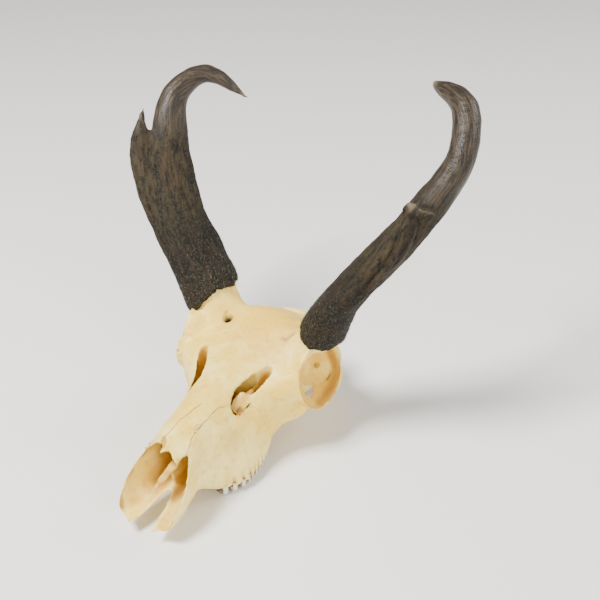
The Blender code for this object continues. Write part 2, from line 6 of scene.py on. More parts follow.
import bpy
import numpy as np
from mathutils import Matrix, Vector
from mathutils.bvhtree import BVHTree
from mathutils.kdtree import KDTree

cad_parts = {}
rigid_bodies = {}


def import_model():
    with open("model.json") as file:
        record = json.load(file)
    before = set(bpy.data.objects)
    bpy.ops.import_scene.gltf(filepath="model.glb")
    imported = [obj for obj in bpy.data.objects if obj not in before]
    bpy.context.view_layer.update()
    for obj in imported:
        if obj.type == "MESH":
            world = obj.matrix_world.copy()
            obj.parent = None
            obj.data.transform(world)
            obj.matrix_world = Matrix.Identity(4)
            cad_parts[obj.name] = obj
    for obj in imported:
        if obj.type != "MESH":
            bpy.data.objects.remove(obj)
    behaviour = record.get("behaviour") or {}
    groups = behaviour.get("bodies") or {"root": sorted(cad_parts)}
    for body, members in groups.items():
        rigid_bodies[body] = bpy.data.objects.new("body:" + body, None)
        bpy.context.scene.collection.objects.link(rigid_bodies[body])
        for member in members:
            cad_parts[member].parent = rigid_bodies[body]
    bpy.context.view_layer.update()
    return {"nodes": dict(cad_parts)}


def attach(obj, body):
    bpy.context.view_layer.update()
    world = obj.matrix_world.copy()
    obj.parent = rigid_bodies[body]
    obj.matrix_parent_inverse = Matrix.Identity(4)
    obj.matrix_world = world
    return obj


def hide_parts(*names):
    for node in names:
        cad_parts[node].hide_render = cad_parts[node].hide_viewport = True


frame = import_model()
print("solids:", sorted(frame["nodes"]))

# %% [markdown]
# A pronghorn skull rests on a table on its cheek teeth. The solids already have its size and its main
# forms, so every piece below, apart from the hairs, starts as a finer copy of one of them. Places are given
# as (side, back, up) in millimetres: from the middle of the skull, from the muzzle, and from the table.

# %% Places in millimetres
MM = 0.001
REACH = 339.4  # from the muzzle tip to the rearmost point of the horns
SIGN = {"left": 1, "right": -1}


def metres(points):
    """Blender's coordinates of points that are given as (side, back, up)."""
    return (np.asarray(points) - (0, REACH / 2, 0)) * MM


def place(side, back, up):
    return Vector(metres((side, back, up)))


def on_side(points, sign):
    """Points of the left side, as they are (1) or mirrored to the right side (-1)."""
    return np.array(points) * (sign, 1, 1)


def read_vectors(item, name):
    flat = np.empty(len(item.data.vertices) * 3)
    item.data.vertices.foreach_get(name, flat)
    return flat.reshape(-1, 3)


def read_points(item):
    """The piece's vertices as (side, back, up)."""
    return read_vectors(item, "co") / MM + (0, REACH / 2, 0)


def read_normals(item):
    return read_vectors(item, "normal")


def write_points(item, points):
    item.data.vertices.foreach_set("co", metres(points).astype(np.float32).ravel())
    item.data.update()


def store(item, name, values):
    """Keeps one number for each vertex, which a material reads by name."""
    layer = item.data.attributes.new(name, "FLOAT", "POINT")
    layer.data.foreach_set("value", np.asarray(values, np.float32))


print("muzzle tip at", place(0, 0, 15))

# %% [markdown]
# The photo looks down on the skull from in front, over its left side. The camera was solved from pairs
# of points that the skull has on both sides, such as the horn bases, and it stays the first thing made.

# %% Camera at the photo's viewpoint
CAMERA_PLACE = (443.4, -532.3, 653.3)
CAMERA_TURN = math.radians(29.21)
CAMERA_RISE = math.radians(32.0)
CAMERA_LENS = 69.0


def add_object(name, data):
    item = bpy.data.objects.new(name, data)
    bpy.context.scene.collection.objects.link(item)
    return item


camera = add_object("camera", bpy.data.cameras.new("camera"))
camera.data.lens = CAMERA_LENS
camera.data.clip_start = 0.01
camera.location = place(*CAMERA_PLACE)
camera.rotation_euler = (math.pi / 2 - CAMERA_RISE, 0, CAMERA_TURN)
bpy.context.scene.camera = camera
print("camera at", camera.location)

# %% [markdown]
# Bone has no flat faces. A solid from the computer-aided model is a net of a few thousand triangles, so
# its copy is remade on an even grid and then relaxed: each vertex moves towards the mean of its
# neighbours, and then a little back. The second step keeps thin walls and tips from shrinking.

# %% Tools that copy and soften a solid
WELD = 0.00001  # metres
EASE, EASE_BACK = 0.5, 0.52  # share of the way to the neighbours' mean, and back again


def activate(item):
    for other in bpy.context.view_layer.objects:
        other.select_set(False)
    item.select_set(True)
    bpy.context.view_layer.objects.active = item


@contextmanager
def editing(item, action="SELECT"):
    """Edit mode on one piece. It starts with all of it or nothing of it selected."""
    activate(item)
    bpy.ops.object.mode_set(mode="EDIT")
    if action:
        bpy.ops.mesh.select_all(action=action)
    yield
    bpy.ops.object.mode_set(mode="OBJECT")


def copy_of_node(node, name):
    """A welded copy of a solid, as the start of a visible piece."""
    item = add_object(name, frame["nodes"][node].data.copy())
    item.data.materials.clear()
    for layer in ("sharp_edge", "sharp_face", "custom_normal"):
        if layer in item.data.attributes:
            item.data.attributes.remove(item.data.attributes[layer])
    with editing(item):
        bpy.ops.mesh.remove_doubles(threshold=WELD)
    return item


def cut_off(item, spot, normal):
    """Drops what lies beyond a plane and closes the cut."""
    with editing(item):
        bpy.ops.mesh.bisect(plane_co=spot, plane_no=normal, use_fill=True, clear_outer=True)


def apply_last(item):
    activate(item)
    bpy.ops.object.modifier_apply(modifier=item.modifiers[-1].name)


def regrid(item, step):
    """Remakes the surface from even squares, step millimetres wide."""
    change = item.modifiers.new("grid", "REMESH")
    change.mode = "VOXEL"
    change.voxel_size = step * MM
    apply_last(item)


def edge_pairs(item):
    pairs = np.empty(len(item.data.edges) * 2, np.int32)
    item.data.edges.foreach_get("vertices", pairs)
    return pairs.reshape(-1, 2)


def neighbour_mean(values, pairs):
    """For each vertex, the mean over its neighbours."""
    count = np.bincount(pairs.ravel(), minlength=len(values))
    total = np.zeros_like(values)
    for k in range(values.shape[1]):
        total[:, k] = np.bincount(pairs[:, 0], values[pairs[:, 1], k], len(values))
        total[:, k] += np.bincount(pairs[:, 1], values[pairs[:, 0], k], len(values))
    return total / np.maximum(count, 1)[:, None]


def relaxed(points, pairs, rounds):
    for _ in range(rounds):
        for share in (EASE, -EASE_BACK):
            points = points + share * (neighbour_mean(points, pairs) - points)
    return points


print("copying tools ready")

# %% [markdown]
# Relief is worked out for all vertices at once, from noise that changes smoothly, soft steps, and humps
# round a place or along a line. The vertices are then moved by those amounts.

# %% Tools that shape a surface


def cloud(points, size, seed):
    """Smooth random values from -1 to 1 that change over about size millimetres."""
    table = np.random.default_rng(seed).uniform(-1, 1, (32, 32, 32))
    cell = points / size
    low = np.floor(cell).astype(int)
    part = cell - low
    part = part * part * (3 - 2 * part)
    total = np.zeros(len(points))
    for corner in np.ndindex(2, 2, 2):
        weight = np.prod(np.where(corner, part, 1 - part), axis=1)
        total += weight * table[tuple(((low + corner) % 32).T)]
    return total


def step_up(values, low, high):
    """0 below low, 1 above high, smooth between."""
    share = np.clip((values - low) / (high - low), 0, 1)
    return share * share * (3 - 2 * share)


def near(points, centre, radius):
    """1 at a place, falling to 0 about two radii away."""
    return np.exp(-((np.asarray(points) - centre) ** 2).sum(axis=1) / radius ** 2)


def step_down(values, low, high):
    """1 below low, 0 above high, smooth between."""
    return step_up(-values, -high, -low)


def hump(values, half, power=2):
    """1 at zero, falling to 0 on both sides."""
    return np.exp(-(values / half) ** power)


def norms(rows):
    return np.linalg.norm(rows, axis=1)


def unit(rows):
    """Each row made 1 long."""
    return rows / np.maximum(np.linalg.norm(rows, axis=1, keepdims=True), 1e-6)


def dot(one, two):
    return (one * two).sum(axis=1)


def moved(points, way, amounts):
    """The points moved by their amounts along one direction, or each along its own."""
    return points + np.asarray(way) * np.asarray(amounts)[:, None]


print("shaping tools ready")

# %% [markdown]
# A horn is a sheath of pressed hair over a bony core. Its fibres run along it, so the material needs to
# know how far along the horn a point is and on which side. The middle line of each horn is repeated here
# from the solid, and each vertex keeps its place relative to that line.

# %% Horn sheaths: middle line
HORN_LINE = {
    "left": ((56.7, 196.4, 104.5), (74, 200.7, 141.3), (97, 212.1, 175), (116.6, 228.2, 201.6),
             (133.2, 250.1, 231.6), (141.2, 278.2, 256.4), (127.5, 311.7, 285.6), (89.7, 335.4, 290.4)),
    "right": ((55, 199.8, 108.5), (75, 203.3, 144.7), (97, 209.7, 173.3), (116.6, 229.4, 205.4),
              (130.3, 251.7, 228.6), (138.3, 275.2, 256.4), (122.9, 306.1, 270.1), (86.7, 317.2, 248)),
}
HORN_TOE = {"left": 8, "right": 24}  # degrees by which the flat blade turns out
HORN_FINE = 240  # points on the middle line
FORWARD = np.array((0, -1, 0))


def smooth_line(points, count):
    """Points spread along a smooth curve through the given ones."""
    points = np.asarray(points, float)
    padded = np.concatenate([2 * points[:1] - points[1:2], points, 2 * points[-1:] - points[-2:-1]])
    made = []
    for stop in np.linspace(0, len(points) - 1, count):
        index = min(int(stop), len(padded) - 4)
        t = stop - index
        a, b, c, d = padded[index:index + 4]
        made.append(0.5 * (2 * b + (c - a) * t + (2 * a - 5 * b + 4 * c - d) * t * t
                           + (3 * b - 3 * c + d - a) * t ** 3))
    return np.array(made)


def horn_frames(name):
    """The line's points, its length up to each, and three directions at each."""
    line = smooth_line(HORN_LINE[name], HORN_FINE)
    along = np.concatenate([[0], np.cumsum(norms(np.diff(line, axis=0)))])
    ahead = unit(np.gradient(line, axis=0))
    front = unit(FORWARD - ahead * (ahead @ FORWARD)[:, None])
    out = np.cross(ahead, front)
    toe = math.radians(HORN_TOE[name])
    blade = front * math.cos(toe) + out * math.sin(toe)
    across = out * math.cos(toe) - front * math.sin(toe)
    return line, along, ahead, blade, across


def horn_length(name):
    return horn_frames(name)[1][-1]


def horn_places(points, name):
    """Each point as (along the blade, across it, up the horn) in millimetres."""
    line, along, ahead, blade, across = horn_frames(name)
    points = on_side(points, SIGN[name])
    tree = KDTree(len(line))
    for index, spot in enumerate(line):
        tree.insert(spot, index)
    tree.balance()
    nearest = np.array([tree.find(spot)[1] for spot in points])
    away = points - line[nearest]
    up = along[nearest] + dot(away, ahead[nearest])
    return np.column_stack([dot(away, blade[nearest]), dot(away, across[nearest]), up])


for name in HORN_LINE:
    print(name, "horn length", round(float(horn_length(name))), "mm")

# %% [markdown]
# A sheath is a hollow cap. Its copy is cut open at its foot, the socket inside it falls away as a loose
# part, and what stays is closed across the foot. It is used twice: as the skin of the horn, and a little
# smaller as the bone that fills the horn's mouth.

# %% Horn sheaths: outer surface alone
SHEATH_FOOT = ((60, 174, 102.5), (33, 206, 118), (71, 197, 102))
CUT_SPARE = 0.0003  # metres from the solid's foot to the cut, so that the cut meets its wall


def foot_plane(name):
    corners = [place(*on_side(corner, SIGN[name])) for corner in SHEATH_FOOT]
    normal = (corners[1] - corners[0]).cross(corners[2] - corners[0]).normalized()
    if normal.z < 0:
        normal = -normal
    return corners[0] + normal * CUT_SPARE, normal


def open_skin(name):
    """The sheath's outer surface alone, closed across its foot."""
    item = copy_of_node(f"horn_sheath_{name}", f"sheath_{name}")
    spot, normal = foot_plane(name)
    with editing(item):
        bpy.ops.mesh.bisect(plane_co=spot, plane_no=normal, clear_inner=True)
        bpy.ops.mesh.separate(type="LOOSE")
    parts = list(bpy.context.selected_objects)
    skin = max(parts, key=lambda part: part.dimensions.length)
    for part in parts:
        if part != skin:
            bpy.data.objects.remove(part)
    skin.name = f"sheath_{name}"
    with editing(skin, "DESELECT"):
        bpy.ops.mesh.select_mode(type="EDGE")
        bpy.ops.mesh.select_non_manifold()
        bpy.ops.mesh.edge_face_add()
    return skin


for name in HORN_LINE:
    spot, normal = foot_plane(name)
    print(name, "foot slopes", round(math.degrees(math.acos(normal.z))), "degrees")

# %% [markdown]
# The cranium's copy still has the cores that run up inside the horns. Nobody can see them, so they are
# cut off above the horns' feet, and the cuts are closed. The bone fills each horn's mouth, so a short
# plug, a little smaller than the horn's skin, is joined to it, and so is the rolled bone in the left slot,
# which the solids lack. The grid then makes one surface of all.

# %% Cranium: fine grid
BONE_GRID = 1.55
CORE_CUT = 128  # height above which the cores are dropped
PLUG_HEIGHT = 17  # how far the bone fills the horn above its foot
PLUG_INSET = 2.6  # between the plug and the horn's skin
WALL_SPARE = 0.5  # mm by which walls are thickened while the grid is laid, so that it can't pierce them
SCROLL = ((23.4, 127.5, 66.8), (3.6, 11.5, 4.5), 19)  # middle, half sizes, and degrees of rise to the back
PLUG_SINK = 3  # how far the plug goes down into the bone

skull = copy_of_node("skull", "cranium")
cut_off(skull, place(0, 0, CORE_CUT), (0, 0, 1))


def horn_plug(name):
    """The lowest part of the horn's outer form, shrunk and sunk a little into the bone."""
    plug = open_skin(name)
    spot, normal = foot_plane(name)
    cut_off(plug, spot + normal * PLUG_HEIGHT * MM, normal)
    with editing(plug):
        bpy.ops.mesh.normals_make_consistent(inside=False)
        bpy.ops.transform.shrink_fatten(value=-PLUG_INSET * MM)
        bpy.ops.transform.translate(value=-normal * PLUG_SINK * MM)
    return plug


def scroll():
    """The rolled bone that shows in the slot before the left eye."""
    middle, halves, rise = SCROLL
    bpy.ops.mesh.primitive_uv_sphere_add(segments=24, ring_count=12, radius=MM, location=place(*middle))
    item = bpy.context.active_object
    item.scale = halves
    item.rotation_euler = (math.radians(rise), 0, 0)
    bpy.ops.object.transform_apply(location=True, rotation=True, scale=True)
    return item


plugs = [horn_plug(name) for name in HORN_LINE] + [scroll()]
activate(skull)
for plug in plugs:
    plug.select_set(True)
bpy.ops.object.join()
with editing(skull):
    bpy.ops.transform.shrink_fatten(value=WALL_SPARE * MM)
regrid(skull, BONE_GRID)
pairs = edge_pairs(skull)
write_points(skull, relaxed(read_points(skull), pairs, 10))
write_points(skull, read_points(skull) - read_normals(skull) * WALL_SPARE)
print("cranium vertices:", len(skull.data.vertices))

# %% [markdown]
# Where two bones grew together the surface flows, so the corner at the foot of each horn stalk and the
# front edge of each eye socket are melted: their vertices are moved towards their neighbours many times.
# The grid rounds off thin tips, so those are pulled back out to where the photo has them.

# %% Cranium: melted corners and sharp tips
MELTED = (((38, 206, 104), 13, 40), ((46, 186, 103), 8, 30), ((63, 152, 84), 8, 24), ((60, 160, 96), 8, 24),
          ((57, 166, 47), 9, 14), ((40, 222, 96), 12, 20), ((24, 128, 74), 5, 6),
          ((61, 153, 91), 9, 40), ((60, 151, 72), 8, 40), ((64, 158, 58), 7, 24))
TIPS = (((11.5, 0, 15), 5), ((24.5, 6.5, 20), 6))
NASAL_TIPS = (((3.2, 30, 71), 2.6), ((16.5, 30.2, 66.4), 4))


def melt(points, pairs, weight, rounds):
    for _ in range(rounds):
        points = moved(points, neighbour_mean(points, pairs) - points, 0.6 * weight)
    return points


def pull(points, target, radius):
    """Draws the nearest vertex out to the target, and those around it after it."""
    nearest = points[norms(points - target).argmin()]
    return moved(points, target - nearest, hump(norms(points - nearest), radius))


points = read_points(skull)
for centre, radius, rounds in MELTED:
    for side in (1, -1):
        points = melt(points, pairs, near(points, on_side(centre, side), radius), rounds)
for side in (1, -1):
    for target, radius in TIPS:
        points = pull(points, on_side(target, side), radius)
for target, radius in NASAL_TIPS:
    points = pull(points, target, radius)
write_points(skull, points)
print("tips pulled out:", 2 * len(TIPS) + len(NASAL_TIPS))

# %% [markdown]
# Small features need a finer net than the rest: torn edges, the ring round the nerve hole in the eye
# socket, and the bone's lower edge over the teeth. The faces near them are selected and subdivided.

# %% Cranium: finer net at small features
FINE_SPOTS = (((9, 33, 70), 10), ((-9, 38, 71), 9), ((-62, 148, 78), 13), ((50, 197, 67), 8),
              ((-31, 185, 99), 9), ((24, 112, 68), 10), ((26, 138, 80), 8), ((-22.5, 102, 70), 8),
              ((0, 26, 38), 8), ((11, 2, 16), 6), ((-11, 2, 16), 6), ((30, 184, 99), 6),
              ((64, 203, 59), 6))
GUM_SIDE, GUM_FROM, GUM_TO, GUM_TOP = 24, 73, 145, 16  # bounds of the lower edge over the teeth


def refine(item, chosen):
    """Subdivides the faces whose vertices are all chosen."""
    with editing(item, "DESELECT"):
        bpy.ops.mesh.select_mode(type="FACE")
    faces = [all(chosen[v] for v in face.vertices) for face in item.data.polygons]
    item.data.polygons.foreach_set("select", faces)
    with editing(item, None):
        bpy.ops.mesh.subdivide(number_cuts=1, smoothness=0)
    return sum(faces)


points = read_points(skull)
back = points[:, 1]
chosen = (np.abs(points[:, 0]) > GUM_SIDE) & (back > GUM_FROM) & (back < GUM_TO) & (points[:, 2] < GUM_TOP)
for centre, radius in FINE_SPOTS:
    chosen |= norms(points - centre) < radius
print("faces made finer:", refine(skull, chosen))
pairs = edge_pairs(skull)

# %% [markdown]
# The edges of the nose opening and of the eye sockets are thin on the real skull. The solid's wall is
# thicker, so its inner side is pushed outwards near those edges, which leaves a thin, slightly sharp rim.

# %% Cranium: thin rims
NOSE_RIM = ((20, 1.9, 16.4), (26.1, 10.3, 28.7), (27, 25.9, 41.5), (23.5, 40.9, 55.2), (17.2, 52.4, 67))
NASAL_RIM = ((14, 39, 64), (9, 40, 70), (2, 35, 71), (0, 45, 75))
EYE_SOCKET = (66, 177, 74)
EYE_RIM = ((68.6, 200.2, 88.4), (72.5, 203, 75), (73.3, 198, 60), (73.3, 189, 51), (73, 180, 46),
           (70, 166, 47), (67, 157, 54), (62, 150, 64))
NOSE_THIN = (1.5, 9)  # how far the inner side is pushed out, and how far from the rim that reaches
EYE_THIN = (2.3, 7)
NOSE_AXIS = ((0, 60, 120), (24, 44, 52))  # height of the nose's middle at three places from front to back


def line_distance(points, line):
    """Distance to a bent line, the nearest point's share of its length, and the line's direction there."""
    line = np.asarray(line, float)
    best = np.full(len(points), 1e9)
    share = np.zeros(len(points))
    ahead = np.zeros((len(points), 3))
    foot = np.zeros((len(points), 3))
    lengths = norms(np.diff(line, axis=0))
    for k, (a, b) in enumerate(zip(line[:-1], line[1:])):
        t = np.clip((points - a) @ (b - a) / lengths[k] ** 2, 0, 1)
        spot = a + t[:, None] * (b - a)
        gap = norms(points - spot)
        closer = gap < best
        best = np.where(closer, gap, best)
        share = np.where(closer, (lengths[:k].sum() + t * lengths[k]) / lengths.sum(), share)
        ahead = np.where(closer[:, None], (b - a) / lengths[k], ahead)
        foot = np.where(closer[:, None], spot, foot)
    return best, share, ahead, foot


def by_line(points, line, half, power=2):
    """1 on a line, falling to 0 beside it."""
    return hump(line_distance(points, line)[0], half, power)


def thinned(points, normals, outward, rims, amount, reach):
    """Pushes the inner side of a wall outwards near its rims."""
    outward = unit(outward)
    inner = np.clip(-dot(normals, outward), 0, 1)
    for rim in rims:
        points = moved(points, outward, amount * inner * by_line(points, rim, reach))
    return points


points = read_points(skull)
normals = read_normals(skull)
nose_rims = [on_side(rim, side) for rim in (NOSE_RIM, NASAL_RIM) for side in (1, -1)]
axis = np.column_stack([np.zeros(len(points)), points[:, 1], np.interp(points[:, 1], *NOSE_AXIS)])
points = thinned(points, normals, points - axis, nose_rims, *NOSE_THIN)
for side in (1, -1):
    outward = (points - on_side(EYE_SOCKET, side)) * (0.25, 1, 1)
    points = thinned(points, normals, outward, [on_side(EYE_RIM, side)], *EYE_THIN)
furthest = norms(points - read_points(skull)).max()
write_points(skull, points)
print("walls thinned by up to", round(float(furthest), 2), "mm")

# %% [markdown]
# The photo shows damage, which stays: the nasal bones end in torn points, and the front rim of the right
# eye socket is broken into small teeth. Fine noise moves the vertices near those edges back and forth.
# The hole above the right eye and the front end of the left slot are sunk as dents.

# %% Cranium: torn edges and the ring round a nerve hole
SOCKET_EDGE = ((-60.5, 151, 90), (-61, 150, 84), (-62.5, 148, 78), (-63, 148, 73.5), (-62.8, 150, 65.8))
SHELL = ((22.6, 112, 66), (23.4, 119, 70), (24.4, 127, 72), (25, 136, 74))
SLOT_EDGE = ((20.2, 109.5, 66), (21.6, 106.6, 65), (26.8, 108, 64), (28.3, 112.5, 65), (28.9, 118, 66),
             (28.7, 124, 68), (29.2, 129.5, 72), (33, 137.5, 78))
RIGHT_SLOT_EDGE = ((-22.5, 100, 68), (-25, 107, 66), (-27.5, 116, 67), (-28.5, 126, 71))
NASAL_EDGE = ((-17, 35, 65), (-9, 40, 71), (-1, 37, 73), (3.3, 30.5, 71), (8, 36, 71), (16, 31, 66),
              (16, 41, 65))
TORN = (  # line, reach of the tearing, its size, size of its grain, seed, direction
    (SOCKET_EDGE, 4.5, 4.2, 2.6, 31, (-0.87, -0.49, 0)),
    (NASAL_EDGE, 1.7, 1.4, 1.7, 32, (0, 1, 0)),
    (SLOT_EDGE, 1.8, 1.2, 2.4, 34, (-0.6, 0.5, 0)),
    (RIGHT_SLOT_EDGE, 1.6, 1.3, 2.2, 35, (0.7, 0.4, 0)),
    (NOSE_RIM, 2.0, 0.7, 3.2, 33, (0, 0.5, 0.8)),
    (on_side(NOSE_RIM, -1), 2.0, 0.7, 3.2, 33, (0, 0.5, 0.8)),
)
RING_HOLE = (50.9, 198.5, 67.4)
DENTS = (  # middle, squeeze, direction, depth, radius at the bottom and at the top
    ((-31, 185, 98.5), (1, 0.8, 0.8), (0.45, -0.1, -1), 5.5, 2.8, 4.6),
    ((25.2, 112.6, 65.5), (1, 0.8, 0.7), (0, 0, -1), 4.5, 1.8, 3.2),
)


def ragged(points, line, reach, amount, size, seed, push):
    """Moves what lies near a line back and forth along push."""
    return moved(points, push, by_line(points, line, reach) * amount * cloud(points, size, seed))


points = read_points(skull)
for torn in TORN:
    points = ragged(points, *torn)
nearest = norms(points - RING_HOLE).argmin()
ring_middle, facing = points[nearest], read_normals(skull)[nearest]
out = norms(points - ring_middle)
points = moved(points, facing, 0.8 * hump(out - 3.4, 1.0) - 2.6 * hump(out - 1.7, 0.8))
for middle, squeeze, way, depth, bottom, top in DENTS:
    gap = norms((points - middle) * squeeze)
    points = moved(points, way, depth * step_down(gap, bottom, top))
write_points(skull, points)
print("nerve hole at", ring_middle.round(1))

# %% [markdown]
# Low relief comes next. The bone over the tooth roots is ribbed, and its lower edge is scalloped, so that
# the teeth show under it. The whole surface is slightly uneven, as grown things are.

# %% Cranium: ribs over the teeth and uneven surface
TOOTH_EDGES = (76.5, 83.5, 91.8, 100.4, 106.2, 112, 118.8, 125.6, 130.9, 136.2, 141.5)
RIB_TOP = 24
TOOTH_ROW = ((74, 80), (141, 146))  # where the ribs begin and end


def tooth_wave(backs):
    """1 over the middle of each tooth cusp, -1 between two."""
    edges = np.array(TOOTH_EDGES)
    position = np.interp(backs, edges, np.arange(len(edges)))
    return -np.cos(2 * math.pi * position)


points = read_points(skull)
normals = read_normals(skull)
beside = step_up(points[:, 1], *TOOTH_ROW[0]) * step_down(points[:, 1], *TOOTH_ROW[1])
aside = np.abs(points[:, 0])
wave = tooth_wave(points[:, 1])
strong = np.clip(0.75 + 0.5 * cloud(points * (1, 1, 0.3), 8, 3), 0.2, 1.3)
low = step_down(points[:, 2], 9, RIB_TOP) * step_up(aside, 25, 29)
ribs = (0.9 * wave - 0.9 * step_down(wave, -1, -0.3)) * strong * beside * low
uneven = 0.35 * cloud(points, 9, 1) + 0.2 * cloud(points, 3.6, 2)
points = moved(points, normals, ribs + uneven)
lifted = 1.4 + 2.0 * step_up(points[:, 1], 100, 116) + 2.6 * strong * step_down(wave, -1, 0.2)
points[:, 2] += lifted * beside * step_down(points[:, 2], 7, 13) * step_up(np.abs(points[:, 0]), 27, 31)
write_points(skull, points)
# Stain together with painted shade: dark brown in the valleys between the ribs and along the lower edge.
stain_and_shade = step_down(points[:, 2], 9, 15) + 0.45 * step_down(points[:, 2], 13, 23)
gaps = beside * step_down(wave, -0.8, 0.3) * (np.abs(points[:, 0]) > 25)
store(skull, "gum_stain_and_shade", np.clip(stain_and_shade, 0, 1) * gaps)
print("highest rib", round(float(ribs.max()), 2), "mm")

# %% [markdown]
# Vessels and nerves that lay on the bone left shallow grooves, and muscles pulled up low ridges. Each is
# a bent line along which the surface sinks or rises, with its ends faded out.

# %% Cranium: grooves of vessels and bony lines


def both(*entry):
    """The entry, and the same with its line mirrored to the right side."""
    *values, line = entry
    return entry, (*values, on_side(line, -1))


GROOVES = (  # depth, half width, then the line
    (0.9, 2.2, ((29, 180, 99), (32.5, 185, 100), (37, 190, 103))),
    (0.5, 1.6, ((28, 170, 97), (29, 178, 98))),
    (0.5, 1.5, ((-28, 168, 97), (-29, 176, 98))),
    (-0.6, 2.6, ((33, 180, 98), (40, 187, 101), (46, 190, 103))),
    *both(0.35, 1.2, ((31, 95, 52), (36, 118, 54), (42, 134, 60))),
    *both(-0.8, 3.5, ((36, 120, 34), (42, 138, 38), (50, 154, 44))),
    *both(-0.7, 2.4, ((26, 216, 95), (30, 228, 84), (30, 240, 72))),
    (-1.0, 2.6, ((0, 252, 70), (0, 258, 58), (0, 260, 50))),
    (1.2, 1.4, ((-31, 185, 98.5), (-33, 187.5, 100.3), (-35.2, 189.6, 102))),
    (1.5, 0.9, SLOT_EDGE[2:7]),
)

points = read_points(skull)
normals = read_normals(skull)
for depth, half, line in GROOVES:
    gap, share = line_distance(points, line)[:2]
    ends = step_up(share, 0, 0.15) * step_down(share, 0.85, 1)
    points = moved(points, -normals, depth * ends * hump(gap, half))
write_points(skull, points)
print("grooves and lines:", len(GROOVES))

# %% [markdown]
# Where little light gets in, as inside the nose, the bone is painted darker and amber as shade. Rays are sent
# out from each vertex, and the share of them that meet bone nearby is kept as a number that the material
# reads.

# %% Cranium: painted shade where each place is shut in
RAYS = 12
RAY_REACH = 45  # mm
RAY_START = 0.0012  # metres above the surface


def painted_occlusion_shade(item, blocker):
    """The share of rays from each vertex that meet the blocker."""
    mesh = blocker.data
    tree = BVHTree.FromPolygons([v.co for v in mesh.vertices], [list(p.vertices) for p in mesh.polygons])
    toward = unit(np.random.default_rng(5).normal(size=(RAYS, 3)))
    met = np.zeros(len(item.data.vertices))
    for index, vertex in enumerate(item.data.vertices):
        start = vertex.co + vertex.normal * RAY_START
        for ray in toward:
            direction = Vector(ray)
            if direction.dot(vertex.normal) < 0:
                direction = -direction
            if tree.ray_cast(start, direction, RAY_REACH * MM)[0] is not None:
                met[index] += 1
    return met / RAYS


shade = painted_occlusion_shade(skull, frame["nodes"]["skull"])
for _ in range(2):
    shade = neighbour_mean(shade[:, None], pairs)[:, 0]
points = read_points(skull)
# Less painted shade inside each eye socket, which lies open.
for side in (1, -1):
    shade = shade * (1 - 0.85 * near(points, on_side((58, 183, 74), side), 30))  # the socket lies open
store(skull, "painted_occlusion_shade", shade)
print("mean share of blocked rays:", round(float(shade.mean()), 3))

# %% [markdown]
# The bones of a skull meet at seams. A seam is far thinner than the grid, so its signed distance is kept
# at each vertex: the material draws a fine line where that number passes zero, with its own small zigzag.

# %% Cranium: seams between bones
SEAMS = (  # strength, then the line
    (1.0, ((-0.4, 33, 72), (-1.6, 41.5, 73.1), (-1.6, 44.5, 75), (-0.7, 51.8, 77.5), (0.2, 60.7, 79.8),
           (1.5, 67.5, 80.8), (2.8, 74.3, 81.8), (4.7, 81.7, 82.6), (6.3, 88.2, 83))),
    (1.0, ((17.5, 41, 60), (16.2, 50, 66), (15, 54.9, 69.2), (14.3, 59, 71.1), (14.4, 64.8, 72.3),
           (14.7, 73.2, 73.7), (15.5, 81, 74.9), (15.7, 86.8, 76.2), (16.7, 95.9, 76.6), (20, 104.3, 73.3))),
    (0.7, ((14.4, 60, 71.5), (11.7, 67.6, 75.4), (15, 72, 74))),
    (0.35, ((-17.5, 41, 60), (-15.5, 48, 66.2), (-14.8, 54.4, 69.2), (-14.5, 75, 74), (-18, 96, 76))),
    *both(0.4, ((27, 60, 38), (24.5, 52, 52), (20, 58, 68))),
    *both(0.45, ((28, 118, 68), (36, 128, 60), (41, 140, 54), (50, 152, 50))),
    (0.8, ((-34, 214, 92), (-18, 222, 96), (0, 227, 95), (18, 222, 96), (34, 214, 92))),
    (0.5, ((0, 227, 95), (0, 240, 86), (0, 249, 77))),
    (0.7, ((-33, 238, 66), (-22, 246, 76), (0, 249, 78), (22, 246, 76), (33, 238, 66))),
    (0.8, ((0, 46, 17), (0, 80, 21), (0, 118, 23), (0, 148, 25))),
    (0.6, ((-19, 121, 22), (-8, 116, 23), (8, 116, 23), (19, 121, 22))),
)
SEAM_REACH = 3.0


def seam_field(points, normals, seams):
    """The signed distance to the nearest seam, and how strongly it shows."""
    signed = np.full(len(points), SEAM_REACH)
    strength = np.zeros(len(points))
    best = np.full(len(points), 1e9)
    for power, line in seams:
        gap, share, ahead, foot = line_distance(points, line)
        side = dot(np.cross(ahead, points - foot), normals)
        ends = step_up(share, 0.0, 0.02) * step_down(share, 0.9, 1.0)
        closer = gap < best
        signed = np.where(closer, np.clip(np.sign(side) * gap, -SEAM_REACH, SEAM_REACH), signed)
        strength = np.where(closer, power * ends * step_down(gap, 1.8, 2.6), strength)
        best = np.minimum(best, gap)
    return signed, strength


points = read_points(skull)
normals = read_normals(skull)
signed, strength = seam_field(points, normals, SEAMS)
store(skull, "seam", signed)
store(skull, "seam_strength", strength)
print("vertices beside seams:", int((strength > 0).sum()))
